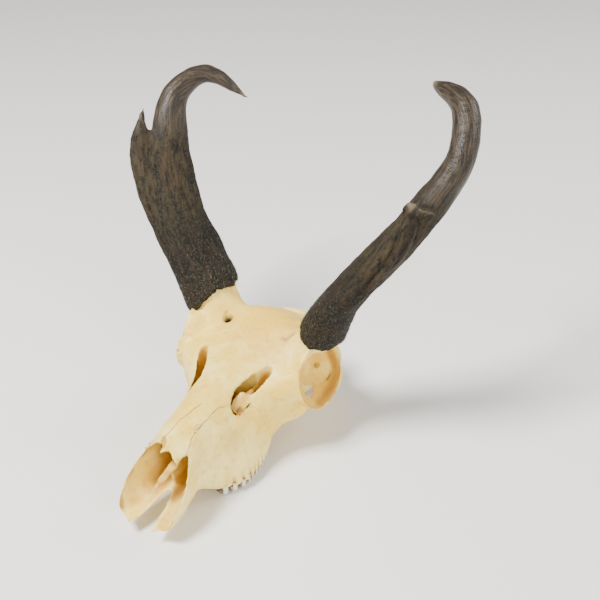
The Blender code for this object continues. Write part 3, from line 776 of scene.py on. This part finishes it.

# %% [markdown]
# What lay in the bone or touched it left its colour: the forehead is worn and tan, rust brown surrounds the
# nerve holes above the eyes, and the rims are yellow where fat stayed behind. Amber is painted shade, with a
# painted glow of light through thin bone, inside the nose, in the left slot and on the inner side of each eye
# socket, and holes, slits and dents are painted nearly black as shade. Each mark is a few soft spots, or a
# band along a line, kept as a number at each vertex, so no picture is needed.

# %% Cranium: stains, worn colour and painted shade
SPOTS = {  # middle and radius of each soft spot
    # painted shade and painted glow through thin bone: amber inside the nose, in the left slot and along the
    # tongue
    "amber_painted_shade": (((29, 147, 79), 5), ((14, 40, 50), 8), ((-8, 44, 58), 9), ((25, 109, 64), 3),
              ((1, 29, 38.5), 5), ((1, 39, 40), 5), ((1, 51, 41), 5)),
    "grey": (((-24, 22, 36), 7), ((38, 121, 30), 6), ((30, 92, 48), 9), ((-20, 24, 26), 6)),
    # painted shade: near-black spots in the two dents
    "dark": (((25.2, 112.6, 65), 3.0), ((-31, 185.5, 94.5), 4.2), ((-33, 188, 92), 4)),
    "tan": (((6, 190, 103), 38),),
    "brown": (((29.2, 181, 98), 3.4), ((32, 185, 99.5), 3.0), ((35, 188, 101), 2.4), ((-22, 168, 97), 2),
              ((-30, 185, 98), 3)),
    "yellow": (((58, 158, 94), 10), ((58, 150, 80), 11), ((56, 166, 60), 9), ((-58, 150, 84), 9),
               ((-6, 36, 60), 7), ((48, 140, 78), 9), ((12, 60, 75), 6)),
}
SOCKET_SHADE_BAND = ((62, 206, 84), (63, 207, 77), (66, 204.3, 72.2), (69.5, 201.5, 65.4), (69, 196, 57),
              (68.5, 188, 50.5), (68, 177, 48))
# Painted shade: near-black lines in the slit behind the left eye socket and along the edge of the left slot.
HOLE_SHADE_LINES = (((62.6, 206.5, 63.5), (63.7, 203, 59), (62, 199.5, 54.5)),
              ((27.2, 109, 64), *SLOT_EDGE[3:6], (29, 128, 71)))

marks = {name: sum(near(points, *spot) for spot in spots) for name, spots in SPOTS.items()}
marks["tan"] = marks["tan"] + 0.8 * by_line(points, SHELL, 3, 4)
# Painted shade: an amber band on the inner side of each eye socket, on faces turned into the socket.
for side in (1, -1):
    rim_gap = line_distance(points, on_side(EYE_RIM, side))[0]
    faces_in = step_up(dot(unit(on_side(EYE_SOCKET, side) - points), normals), -0.1, 0.4)
    band = by_line(points, on_side(SOCKET_SHADE_BAND, side), 6, 4)
    marks["amber_painted_shade"] = marks["amber_painted_shade"] + band * faces_in * step_up(rim_gap, 0.3, 1.6)
# Painted shade: amber along the shell in the left slot.
marks["amber_painted_shade"] = marks["amber_painted_shade"] + 0.7 * by_line(points, SHELL, 4.5, 4)
for line in HOLE_SHADE_LINES:
    marks["dark"] = marks["dark"] + by_line(points, line, 1.1, 4)
# Painted shade: near-black inside the nerve hole.
ring_gap = norms(points - ring_middle)
marks["dark"] = marks["dark"] + hump(ring_gap - 1.7, 0.9)
for name, values in marks.items():
    store(skull, name, np.clip(values, 0, 1))
skull.data.shade_smooth()
print("stains kept:", ", ".join(marks))

# %% [markdown]
# The skin of each horn is remade on a coarse grid, relaxed until no facet shows, and subdivided twice.
# That rounds off the tips, so they are drawn out again. Then the relief goes in: fibres as long, narrow
# bumps, pits on the middle of the blade, and on the left horn the fold where its prong lies over the beam,
# with a step under the prong's upper edge.

# %% Horn sheaths: skin
HORN_GRID = 2.9
HORN_POINTS = {
    "left": (((128, 207, 239.5), 6), ((97.5, 332.5, 283), 6), ((92, 334.5, 286.5), 5)),
    "right": (((88, 317.5, 249), 9), ((150.2, 219.4, 232.3), 5)),
}
SHELF = ((127.5, 209, 239.5), (129.5, 214, 237), (130.5, 221, 232), (132, 225, 229), (138.6, 227.9, 228.2))
DOWN_BEAM = (-0.408, -0.538, -0.737)
FOLD = ((127.5, 209, 236), (125.1, 200.8, 224.4), (126.3, 195.5, 213.6), (122.5, 190.5, 199.4),
        (111.8, 187.1, 179.9), (99.4, 185.8, 160.5), (87.7, 178.1, 146.8), (79.8, 174.5, 137.5))
TO_RIGHT = (0.873, 0.488, 0)  # across the fold, towards the prong
FOLD_FACES = (0.41, -0.74, 0.53)  # the direction in which the side with the fold looks
TIP_ROUNDS, SKIN_ROUNDS = 12, 48  # rounds of relaxing at the tip and elsewhere


def smooth_skin(name):
    """The horn's outer surface without facets."""
    skin = open_skin(name)
    regrid(skin, HORN_GRID)
    points, pairs = read_points(skin), edge_pairs(skin)
    tip = step_up(horn_places(points, name)[:, 2] - horn_length(name), -50, -25)[:, None]
    points = relaxed(points, pairs, TIP_ROUNDS) * tip + relaxed(points, pairs, SKIN_ROUNDS) * (1 - tip)
    for target, radius in HORN_POINTS[name]:
        points = pull(points, on_side(target, SIGN[name]), radius)
    write_points(skin, points)
    change = skin.modifiers.new("smooth", "SUBSURF")
    change.levels = 2
    change.render_levels = 2
    apply_last(skin)
    return skin


def horn_relief(where):
    """How far the skin stands out at each place."""
    up = where[:, 2]
    fibre = where * (1, 1, 0.09)
    strands = 0.2 * cloud(fibre, 1.7, 11) + 0.24 * cloud(fibre, 4.2, 12)
    rough = 0.26 * cloud(where * (1, 1, 0.5), 1.7, 13)
    lumps = 0.7 * cloud(where, 14, 14) + 0.25 * cloud(where, 6, 16)
    blade = step_up(up, 45, 80) * step_down(up, 135, 175)
    smooth = step_up(up, 150, 185)
    low = 1 - step_up(up, 25, 60)
    pits = -1.0 * step_up(cloud(where * (1, 1, 0.4), 2.6, 15), 0.35, 0.8) * blade
    strands = strands * (1 - 0.4 * smooth) * (1 - 0.7 * low)
    rough = rough * (0.5 + 0.5 * low) * (1 - 0.85 * smooth)
    return strands + rough + lumps * (1 - 0.6 * smooth) + pits


def across_line(points, line, way):
    """The distance to a line, the share of its length, and how far each place lies in a direction from it."""
    gap, share, _, foot = line_distance(points, line)
    return gap, share, (points - foot) @ np.array(way)


def facing_fold(normals, low, high):
    return step_up(normals @ np.array(FOLD_FACES), low, high)


def fold_relief(points, normals):
    """A valley on one side of the fold and a raised lip on the other."""
    gap, share, aside = across_line(points, FOLD, TO_RIGHT)
    fade = facing_fold(normals, 0.1, 0.4) * (1 - step_up(share, 0.55, 1.0)) * step_down(gap, 6, 9)
    return fade * (1.9 * hump(aside - 1.2, 1.7) - 2.6 * hump(aside + 2.2, 2.0))


def shelf_relief(points, normals):
    """The step under the prong's upper edge, and how near each place is to that edge."""
    gap, share, below = across_line(points, SHELF, DOWN_BEAM)
    beside = np.sqrt(np.maximum(gap ** 2 - below ** 2, 0))
    shown = facing_fold(normals, -0.2, 0.2) * step_down(beside, 2, 4.5)
    step = shown * step_up(below, -0.5, 0.5) * hump(np.maximum(below, 0), 16)
    edge = shown * hump(below - 0.6, 0.9) * (0.45 - 0.25 * share)
    return (3.0 - 1.2 * share) * step - 1.2 * (shown * hump(below + 2, 1.6)), edge


def plate_share(points, normals):
    """1 on the fibrous plate beside the fold, 0 elsewhere."""
    gap, share, aside = across_line(points, FOLD, TO_RIGHT)
    beside = (1 - step_up(share, 0.45, 0.8)) * step_up(aside, 1.5, 3) * step_down(gap, 10, 15)
    return facing_fold(normals, -0.1, 0.3) * beside


print("fold length", round(float(norms(np.diff(FOLD, axis=0)).sum())), "mm")

# %% [markdown]
# Each horn ends in a ragged edge with short hairs stuck in it. The edge of the right horn climbs towards
# the middle of the skull, which bares the bone there, so what lies just above the cut is pushed up.

# %% Horn sheaths: ragged foot
FOOT_LIFT = {  # (side, back) on the foot, and how far its edge lies above the straight cut
    "left": (((66, 175), 3), ((72, 190), 3.5)),
    "right": (((-62, 176), -3), ((-57, 168), -4.5), ((-49, 179), 5), ((-45, 186), 8.5), ((-43, 191), 10),
              ((-39.5, 199), 4), ((-38, 211), 0.5)),
}
TATTER = {"left": 0.7, "right": 1.2}
LIFT_REACH = 30  # height over which the lift fades out
LIFT_SPREAD = 40  # square of the distance over which it fades to the sides


def above_foot(points, name):
    """Height above the plane in which the sheath's copy was cut, in millimetres."""
    spot, normal = foot_plane(name)
    return (metres(points) @ np.array(normal) - spot.dot(normal)) / MM


def frayed_foot(points, normals, name):
    """Lifts the edge where the bone is bare and breaks it into tatters."""
    ahead = on_side(horn_frames(name)[2][0], SIGN[name])
    height = above_foot(points, name)
    lift, weights = np.zeros(len(points)), np.full(len(points), 0.02)
    for (side, back), amount in FOOT_LIFT[name]:
        weight = np.exp(-((points[:, 0] - side) ** 2 + (points[:, 1] - back) ** 2) / LIFT_SPREAD)
        lift += weight * amount
        weights += weight
    lift = lift / np.maximum(weights, 1) * np.clip(1 - height / LIFT_REACH, 0, 1)
    edge = hump(height, 3.5)
    drop = TATTER[name] * (1.5 * cloud(points, 3.4, 21) + 1.0 * cloud(points, 1.5, 22))
    flare = 0.5 + 0.5 * cloud(points, 5, 23) + 0.12 * np.maximum(-lift, 0)
    return moved(points + np.outer(lift - edge * drop, ahead), normals, edge * flare)


sheaths = {}
for name in HORN_LINE:
    item = smooth_skin(name)
    points, normals, pairs = read_points(item), read_normals(item), edge_pairs(item)
    where = horn_places(points, name)
    blurred = points
    for _ in range(12):
        blurred = neighbour_mean(blurred, pairs)
    convex = dot(points - blurred, normals)
    tips = step_down(np.abs(where[:, 2] - horn_length(name)), 2, 14)
    has_fold = name == "left"
    step, edge_share = shelf_relief(points, normals)
    relief = horn_relief(where) * (1 - 0.7 * tips) + has_fold * (fold_relief(points, normals) + step)
    points = moved(points, normals, relief)
    write_points(item, points)
    write_points(item, frayed_foot(points, read_normals(item), name))
    layer = item.data.attributes.new("horn_place", "FLOAT_VECTOR", "POINT")
    layer.data.foreach_set("vector", (where * MM).astype(np.float32).ravel())
    worn = step_up(convex, 0.22, 0.75) * step_up(where[:, 2], 80, 110) + 0.7 * tips ** 2
    store(item, "worn", np.clip(worn + has_fold * edge_share, 0, 1))
    store(item, "plate", has_fold * plate_share(points, read_normals(item)))
    item.data.shade_smooth()
    sheaths[name] = item
    print(item.name, len(item.data.vertices), "vertices, sharpest", round(float(convex.max()), 2))

# %% [markdown]
# The lowest part of each horn still carries hair. A hair is a thin three-sided prism that tapers to a
# point and bends a little, ten triangles in all. Most are short and lie along the horn; a few stray ones
# near the edge stand out. Their roots are picked at random from the skin's vertices.

# %% Hairs at the horns' feet
HAIR_ZONE = 62  # mm of horn that carries hair
SHORT_HAIRS = 3600
STRAY_HAIRS = 150
HAIR_RADIUS = 0.07
HAIR_ROOT = 0.2  # how deep each hair is set into the skin
PRISM = [(2, 1, 0)]  # a hair's faces, over its corners 0 to 2, 3 to 5 and its point 6
for turn in range(3):
    after = (turn + 1) % 3
    PRISM += [(turn, after, 3 + after, 3 + turn), (3 + turn, 3 + after, 6)]


def hair_mesh(name, rooted, seed):
    """All hairs of one horn as one mesh."""
    random = np.random.default_rng(seed)
    points, normals = read_points(rooted), read_normals(rooted)
    height = above_foot(points, name)
    ahead = on_side(horn_frames(name)[2][8], SIGN[name])
    chance = np.where(height > 0.3, np.clip(1 - height / HAIR_ZONE, 0, 1) ** 1.6, 0)
    short = random.choice(len(points), SHORT_HAIRS, p=chance / chance.sum())
    chance = hump(np.abs(height - 1.5), 3)
    stray = random.choice(len(points), STRAY_HAIRS, p=chance / chance.sum())
    roots = np.concatenate([short, stray])
    count = len(roots)
    loose = np.arange(count) >= SHORT_HAIRS
    length = np.where(loose, random.uniform(3.5, 8, count), random.uniform(1.0, 2.8, count))
    lean = np.where(loose, random.uniform(0.6, 1.6, count), random.uniform(0.15, 0.6, count))
    sense = np.where(loose & (random.random(count) < 0.6), -0.7, 1.0)
    toward = ahead * sense[:, None] + normals[roots] * lean[:, None] + random.normal(0, 0.3, (count, 3))
    toward = unit(toward)
    bend = random.normal(0, 0.16, (count, 3)) * length[:, None]
    side_a = unit(np.cross(toward, (0.3, 0.2, 0.9)))
    side_b = np.cross(toward, side_a)
    base = points[roots] - normals[roots] * HAIR_ROOT
    middle = moved(base, toward, length * 0.55) + bend * 0.5
    corners = []
    for spot, radius in ((base, HAIR_RADIUS), (middle, HAIR_RADIUS * 0.75)):
        for turn in range(3):
            angle = 2 * math.pi * turn / 3
            corners.append(spot + radius * (side_a * math.cos(angle) + side_b * math.sin(angle)))
    corners.append(moved(base, toward, length) - bend * 0.3)
    vertices = np.stack(corners, axis=1).reshape(-1, 3)
    faces = [[7 * hair + corner for corner in face] for hair in range(count) for face in PRISM]
    mesh = bpy.data.meshes.new(f"hair_{name}")
    mesh.from_pydata(metres(vertices).tolist(), [], faces)
    item = add_object(f"hair_{name}", mesh)
    store(item, "tint", np.repeat(random.random(count), 7))
    with editing(item):
        bpy.ops.mesh.normals_make_consistent(inside=False)
    return item


hairs = [hair_mesh(name, sheaths[name], 40 + index) for index, name in enumerate(HORN_LINE)]
print("hair faces:", [len(item.data.polygons) for item in hairs])

# %% [markdown]
# The cheek teeth are what the skull stands on. Each solid already has the ribs outside, the lobes inside
# and the notches between its cusps. Its hidden root is cut off, the rest is remade on a very fine grid,
# and crescents are sunk into the chewing face.

# %% Cheek teeth
TOOTH_GRID = 0.45
ROOT_CUT = 13
TEETH = ("premolar_2", "premolar_3", "premolar_4", "molar_1", "molar_2", "molar_3")
CRESCENT = (1.1, 3.4)  # how far from the cusp's middle its inner and outer crescents lie


def crescents(points, normals, middle):
    """1 in the two crescents of each cusp on the chewing face, 0 elsewhere."""
    edges = np.array(TOOTH_EDGES)
    centres = (edges[:-1] + edges[1:]) / 2
    nearest = centres[np.abs(points[:, 1][:, None] - centres).argmin(axis=1)]
    ring = np.hypot((np.abs(points[:, 0]) - middle) * 0.9, (points[:, 1] - nearest) * 1.1)
    return sum(hump(ring - radius, 0.5) for radius in CRESCENT) * step_up(-normals[:, 2], 0.35, 0.8)


teeth = {}
for node in [f"{row}_{side}" for row in TEETH for side in SIGN]:
    item = copy_of_node(node, f"{node}_crown")
    cut_off(item, place(0, 0, ROOT_CUT), (0, 0, 1))
    regrid(item, TOOTH_GRID)
    points = relaxed(read_points(item), edge_pairs(item), 5)
    write_points(item, points)
    sunk = crescents(points, read_normals(item), np.abs(points[:, 0]).mean())
    write_points(item, moved(points, -read_normals(item), 0.7 * sunk))
    store(item, "crescent", sunk)
    # Stain together with painted shade: dark brown between the cusps.
    between = step_down(tooth_wave(points[:, 1]), -0.35, 0.5)
    store(item, "between", between * step_up(points[:, 2], 0.6, 2.2))
    item.data.shade_smooth()
    teeth[node] = item
print("teeth:", len(teeth))

# %% [markdown]
# Materials are built from nodes. Small helpers add a node, mix two colours and turn a value into a
# soft mask, so that each material below reads from top to bottom as layers of colour.

# %% Material helpers


def feed(tree, socket, value):
    if isinstance(value, bpy.types.NodeSocket):
        tree.links.new(value, socket)
    else:
        socket.default_value = value


def add_node(tree, kind, inputs=None, **settings):
    made = tree.nodes.new(kind)
    for key, value in settings.items():
        setattr(made, key, value)
    for key, value in (inputs or {}).items():
        feed(tree, made.inputs[key], value)
    return made


def mix(tree, share, one, two):
    made = add_node(tree, "ShaderNodeMix", data_type="RGBA")
    for socket, value in ((made.inputs[0], share), (made.inputs[6], one), (made.inputs[7], two)):
        feed(tree, socket, value)
    return made.outputs[2]


def colour(red, green, blue):
    return (red, green, blue, 1)


def mask(tree, value, low, high):
    """0 below low and 1 above high."""
    made = add_node(tree, "ShaderNodeMapRange", {"Value": value, "From Min": low, "From Max": high},
                    interpolation_type="SMOOTHSTEP")
    return made.outputs["Result"]


def math_node(tree, operation, one, two=0.0):
    made = add_node(tree, "ShaderNodeMath", operation=operation)
    feed(tree, made.inputs[0], one)
    feed(tree, made.inputs[1], two)
    return made.outputs[0]


def noise(tree, vector, scale, detail=3.0, roughness=0.55):
    made = add_node(tree, "ShaderNodeTexNoise", {"Vector": vector, "Scale": scale, "Detail": detail,
                                                 "Roughness": roughness})
    return made.outputs["Fac"]


def times(tree, one, two):
    return math_node(tree, "MULTIPLY", one, two)


def stretch(tree, vector, scale):
    made = add_node(tree, "ShaderNodeMapping", {"Vector": vector, "Scale": scale})
    return made.outputs["Vector"]


def attribute(tree, name, output="Fac"):
    return add_node(tree, "ShaderNodeAttribute", attribute_name=name).outputs[output]


def new_material(name):
    made = bpy.data.materials.new(name)
    made.use_nodes = True
    tree = made.node_tree
    return made, tree, tree.nodes["Principled BSDF"]


def bump(tree, height, strength, distance):
    made = add_node(tree, "ShaderNodeBump", {"Height": height, "Strength": strength, "Distance": distance})
    return made.outputs["Normal"]


print("material helpers ready")

# %% [markdown]
# Two effects come back in every material here: patches, which are soft-edged blotches of another colour,
# and grain, the fine unevenness that catches the light. Each is a node group, built once and placed in
# each material with its own values.

# %% Shared effects


def new_group(name, numbers, output):
    """A node group that takes a vector and some numbers, and gives one number."""
    group = bpy.data.node_groups.new(name, "ShaderNodeTree")
    group.interface.new_socket("Vector", in_out="INPUT", socket_type="NodeSocketVector")
    for key in numbers:
        group.interface.new_socket(key, in_out="INPUT", socket_type="NodeSocketFloat")
    group.interface.new_socket(output, in_out="OUTPUT", socket_type="NodeSocketFloat")
    return group, group.nodes.new("NodeGroupInput").outputs, group.nodes.new("NodeGroupOutput").inputs


patch_group, given, result = new_group("patches", ("Scale", "Detail", "Low", "High"), "Mask")
cloudy = noise(patch_group, given["Vector"], given["Scale"], given["Detail"])
feed(patch_group, result["Mask"], mask(patch_group, cloudy, given["Low"], given["High"]))

grain_group, given, result = new_group("grain", ("Scale", "Pits"), "Height")
fine = noise(grain_group, given["Vector"], given["Scale"], 4)
dots = add_node(grain_group, "ShaderNodeTexVoronoi", {"Vector": given["Vector"], "Scale": given["Scale"]})
holes = math_node(grain_group, "SUBTRACT", 1.0, mask(grain_group, dots.outputs["Distance"], 0.05, 0.3))
sunk = times(grain_group, holes, given["Pits"])
feed(grain_group, result["Height"], math_node(grain_group, "SUBTRACT", fine, sunk))


def patches(tree, vector, scale, low, high, detail=3.0):
    values = {"Vector": vector, "Scale": scale, "Detail": detail, "Low": low, "High": high}
    return add_node(tree, "ShaderNodeGroup", values, node_tree=patch_group).outputs["Mask"]


def grain(tree, vector, scale, pits):
    values = {"Vector": vector, "Scale": scale, "Pits": pits}
    return add_node(tree, "ShaderNodeGroup", values, node_tree=grain_group).outputs["Height"]


def marked(tree, base, name, share, tone):
    """Lays a colour over base where the vertices are marked."""
    return mix(tree, times(tree, attribute(tree, name), share), base, tone)


def dappled(tree, base, vector, patch, share, tone):
    """Lays a colour over base in patches, which have a scale, two levels and a detail."""
    return mix(tree, times(tree, patches(tree, vector, *patch), share), base, tone)


print("shared effects:", patch_group.name, grain_group.name)

# %% [markdown]
# Dry bone is cream where it is dense and tan on the forehead, where the spongy bone under it shows
# through. Fat that stayed in it is yellow. Inside the nose and the eye sockets, amber is painted shade with a
# painted glow of light through the thin walls. The colour is built up in layers, from broad to fine, and the
# seams come last.

# %% Bone
CREAM = colour(0.87, 0.61, 0.10)
WHITE_BONE = colour(0.95, 0.76, 0.23)
TAN = colour(0.80, 0.47, 0.05)
DEEP_TAN = colour(0.60, 0.29, 0.03)
YELLOW_FAT = colour(0.86, 0.56, 0.035)
AMBER_PAINTED_SHADE = colour(0.44, 0.21, 0.018)
GREY_BONE = colour(0.60, 0.43, 0.16)
BROWN_STAIN = colour(0.36, 0.17, 0.045)
GUM_STAIN_AND_SHADE = colour(0.19, 0.085, 0.025)
SEAM_BROWN = colour(0.20, 0.10, 0.035)
PAINTED_HOLE_BLACK = colour(0.02, 0.012, 0.006)

bone, tree, shader = new_material("dry bone")
spot = add_node(tree, "ShaderNodeTexCoord").outputs["Object"]
base = mix(tree, patches(tree, spot, 26, 0.40, 0.62), CREAM, WHITE_BONE)
base = marked(tree, base, "tan", 0.8, TAN)
blotches = times(tree, patches(tree, spot, 60, 0.50, 0.68, 5), times(tree, attribute(tree, "tan"), 0.6))
base = mix(tree, blotches, base, DEEP_TAN)
base = marked(tree, base, "yellow", 0.65, YELLOW_FAT)
base = dappled(tree, base, spot, (42, 0.48, 0.66, 4), 0.55, YELLOW_FAT)
base = dappled(tree, base, spot, (85, 0.55, 0.72, 4), 0.30, GREY_BONE)
base = marked(tree, base, "grey", 0.4, GREY_BONE)
base = dappled(tree, base, spot, (170, 0.54, 0.70, 5), 0.30, DEEP_TAN)
# Painted shade: the more shut in a place is, the more amber it is painted.
painted_shade_mask = mask(tree, attribute(tree, "painted_occlusion_shade"), 0.45, 0.95)
base = mix(tree, times(tree, painted_shade_mask, 0.8), base, AMBER_PAINTED_SHADE)
# Painted shade and painted glow through thin bone: the amber marks.
base = marked(tree, base, "amber_painted_shade", 0.85, AMBER_PAINTED_SHADE)
base = marked(tree, base, "brown", 0.6, BROWN_STAIN)
# Stain together with painted shade, between the ribs over the teeth and along their lower edge.
base = marked(tree, base, "gum_stain_and_shade", 0.9, GUM_STAIN_AND_SHADE)
base = dappled(tree, base, spot, (260, 0.60, 0.72, 4), 0.28, BROWN_STAIN)
wiggle = math_node(tree, "SUBTRACT", noise(tree, spot, 420, 2), 0.5)
seam = math_node(tree, "ADD", attribute(tree, "seam"), times(tree, wiggle, 2.6))
seam = math_node(tree, "SUBTRACT", 1.0, mask(tree, math_node(tree, "ABSOLUTE", seam), 0.12, 0.5))
seam = times(tree, seam, attribute(tree, "seam_strength"))
base = mix(tree, times(tree, seam, 0.85), base, SEAM_BROWN)
# Painted shade: holes, slits and dents painted nearly black.
base = mix(tree, attribute(tree, "dark"), base, PAINTED_HOLE_BLACK)
feed(tree, shader.inputs["Base Color"], base)
relief = grain(tree, spot, 330, 0.5)
feed(tree, shader.inputs["Roughness"], math_node(tree, "ADD", times(tree, relief, 0.25), 0.34))
shader.inputs["Subsurface Weight"].default_value = 0.15
shader.inputs["Subsurface Radius"].default_value = (1.0, 0.55, 0.2)
shader.inputs["Subsurface Scale"].default_value = 0.003
height = math_node(tree, "SUBTRACT", times(tree, relief, 0.5), seam)
feed(tree, shader.inputs["Normal"], bump(tree, height, 0.75, 0.0006))
print("bone nodes:", len(tree.nodes))

# %% [markdown]
# The horn changes along its length. Near the skull it is dark and furry, in the middle it is olive brown
# with pits, and the bare beam above the prong is worn smooth, with pale streaks along it. Its place along
# the horn drives that change, and edges that stick out are paler, because they rub against things.

# %% Horn
HORN_BLACK = colour(0.004, 0.0036, 0.0025)
HORN_GREY = colour(0.022, 0.020, 0.013)
HORN_OLIVE = colour(0.044, 0.031, 0.014)
HORN_BROWN = colour(0.030, 0.018, 0.009)
HORN_PALE = colour(0.24, 0.185, 0.12)
BEAM_DARK = colour(0.014, 0.010, 0.006)
BEAM_LIGHT = colour(0.060, 0.041, 0.023)
PLATE_BROWN = colour(0.012, 0.0065, 0.0035)

horn, tree, shader = new_material("horn")
spot = attribute(tree, "horn_place", "Vector")
up = add_node(tree, "ShaderNodeSeparateXYZ", {"Vector": spot}).outputs["Z"]
fibre = stretch(tree, spot, (1, 1, 0.10))
base = mix(tree, patches(tree, spot, 520, 0.42, 0.66, 3), HORN_BLACK, HORN_GREY)
olive = patches(tree, stretch(tree, spot, (1, 1, 0.3)), 260, 0.36, 0.62, 5)
middle = times(tree, mask(tree, up, 0.045, 0.10), olive)
base = mix(tree, times(tree, middle, 0.75), base, HORN_OLIVE)
base = dappled(tree, base, fibre, (330, 0.45, 0.66, 3), 0.55, HORN_BROWN)
streaks = mix(tree, patches(tree, fibre, 560, 0.42, 0.64, 4), BEAM_DARK, BEAM_LIGHT)
smooth = mask(tree, up, 0.135, 0.185)
base = mix(tree, times(tree, smooth, 0.85), base, streaks)
pits = times(tree, patches(tree, stretch(tree, spot, (1, 1, 0.45)), 420, 0.58, 0.68, 2),
             math_node(tree, "SUBTRACT", 1.0, smooth))
base = mix(tree, times(tree, pits, 0.6), base, HORN_BLACK)
plate = times(tree, attribute(tree, "plate"), patches(tree, fibre, 380, 0.30, 0.60, 3))
base = mix(tree, times(tree, plate, 0.8), base, PLATE_BROWN)
base = marked(tree, base, "worn", 0.75, HORN_PALE)
feed(tree, shader.inputs["Base Color"], base)
feed(tree, shader.inputs["Roughness"], math_node(tree, "SUBTRACT", 0.75, times(tree, smooth, 0.33)))
feed(tree, shader.inputs["Specular IOR Level"], math_node(tree, "ADD", times(tree, smooth, 0.15), 0.2))
relief = math_node(tree, "ADD", grain(tree, spot, 600, 0.6), noise(tree, fibre, 500, 3))
feed(tree, shader.inputs["Normal"], bump(tree, relief, 0.7, 0.0006))
print("horn nodes:", len(tree.nodes))

# %% [markdown]
# The hairs range from nearly black to pale straw. Each has a number of its own, its tint, which picks its
# colour between the two. They shine a little more than the matt skin that they grow on.

# %% Hair
hair, tree, shader = new_material("horn hair")
base = mix(tree, attribute(tree, "tint"), colour(0.02, 0.017, 0.013), colour(0.30, 0.26, 0.20))
feed(tree, shader.inputs["Base Color"], base)
shader.inputs["Roughness"].default_value = 0.45
print("hair nodes:", len(tree.nodes))

# %% [markdown]
# Enamel is nearly white and glossy at the tips of the cusps. Between them it is dark brown, a plant-juice
# stain together with painted shade, and plant juice stains the crescents of the chewing face dark brown.

# %% Tooth
tooth, tree, shader = new_material("tooth")
spot = add_node(tree, "ShaderNodeTexCoord").outputs["Object"]
base = mix(tree, patches(tree, spot, 300, 0.45, 0.65), colour(0.90, 0.84, 0.66), colour(0.80, 0.64, 0.36))
# Stain together with painted shade in the gaps between the cusps.
gaps = attribute(tree, "between")
gap_stain_and_shade = times(tree, gaps, math_node(tree, "ADD", patches(tree, spot, 500, 0.3, 0.6), 0.35))
base = mix(tree, gap_stain_and_shade, base, colour(0.07, 0.035, 0.015))
base = marked(tree, base, "crescent", 0.8, colour(0.16, 0.08, 0.03))
feed(tree, shader.inputs["Base Color"], base)
feed(tree, shader.inputs["Roughness"], math_node(tree, "ADD", times(tree, gaps, 0.3), 0.24))
feed(tree, shader.inputs["Normal"], bump(tree, grain(tree, spot, 700, 0.3), 0.3, 0.0003))
print("tooth nodes:", len(tree.nodes))

# %% [markdown]
# Each piece now gets its material and the body that it moves with, and the solid that it stands for, if any,
# is hidden. The part has one body, so every piece rides on the root.

# %% Give each piece its finish and its body


def finish_piece(item, material, node=None):
    item.data.materials.clear()
    item.data.materials.append(material)
    if node:
        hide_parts(node)
    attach(item, "root")


finish_piece(skull, bone, "skull")
for name, item in sheaths.items():
    finish_piece(item, horn, f"horn_sheath_{name}")
for node, item in teeth.items():
    finish_piece(item, tooth, node)
for item in hairs:
    finish_piece(item, hair)
print("pieces:", 1 + len(sheaths) + len(teeth) + len(hairs))

# %% [markdown]
# The stage is a plain pale floor under soft studio light: a key light above and to the left of the camera,
# a wide fill from the right, and a rim light behind, which draws the bright line along the horns.

# %% Floor and light
LIGHTS = (  # name, place, what it points at, size, power, colour
    ("key", (-0.45, -0.75, 1.6), (0, 0, 0.1), 0.55, 80, (1, 0.98, 0.95)),
    ("fill", (1.5, -0.9, 0.8), (0, 0, 0.12), 1.0, 28, (1, 0.99, 0.97)),
    ("rim", (0.9, 1.1, 1.0), (0, 0, 0.2), 0.8, 15, (1, 1, 1)),
)
ROOM_GREY = colour(0.88, 0.88, 0.88)
ROOM_STRENGTH = 0.42

bpy.ops.mesh.primitive_plane_add(size=8, location=(0, 0, 0))
floor = bpy.context.active_object
floor.name = "floor"
paper, tree, shader = new_material("paper")
shader.inputs["Base Color"].default_value = colour(0.80, 0.79, 0.77)
shader.inputs["Roughness"].default_value = 0.8
floor.data.materials.append(paper)


def add_light(name, spot, target, size, power, tint):
    lamp = bpy.data.lights.new(name, "AREA")
    lamp.size = size
    lamp.energy = power
    lamp.color = tint
    item = add_object(name, lamp)
    item.location = spot
    item.rotation_euler = (Vector(target) - Vector(spot)).to_track_quat("-Z", "Y").to_euler()


for light in LIGHTS:
    add_light(*light)
world = bpy.data.worlds.new("room")
bpy.context.scene.world = world
world.use_nodes = True
background = world.node_tree.nodes["Background"]
background.inputs["Color"].default_value = ROOM_GREY
background.inputs["Strength"].default_value = ROOM_STRENGTH
print("lights:", len(LIGHTS))
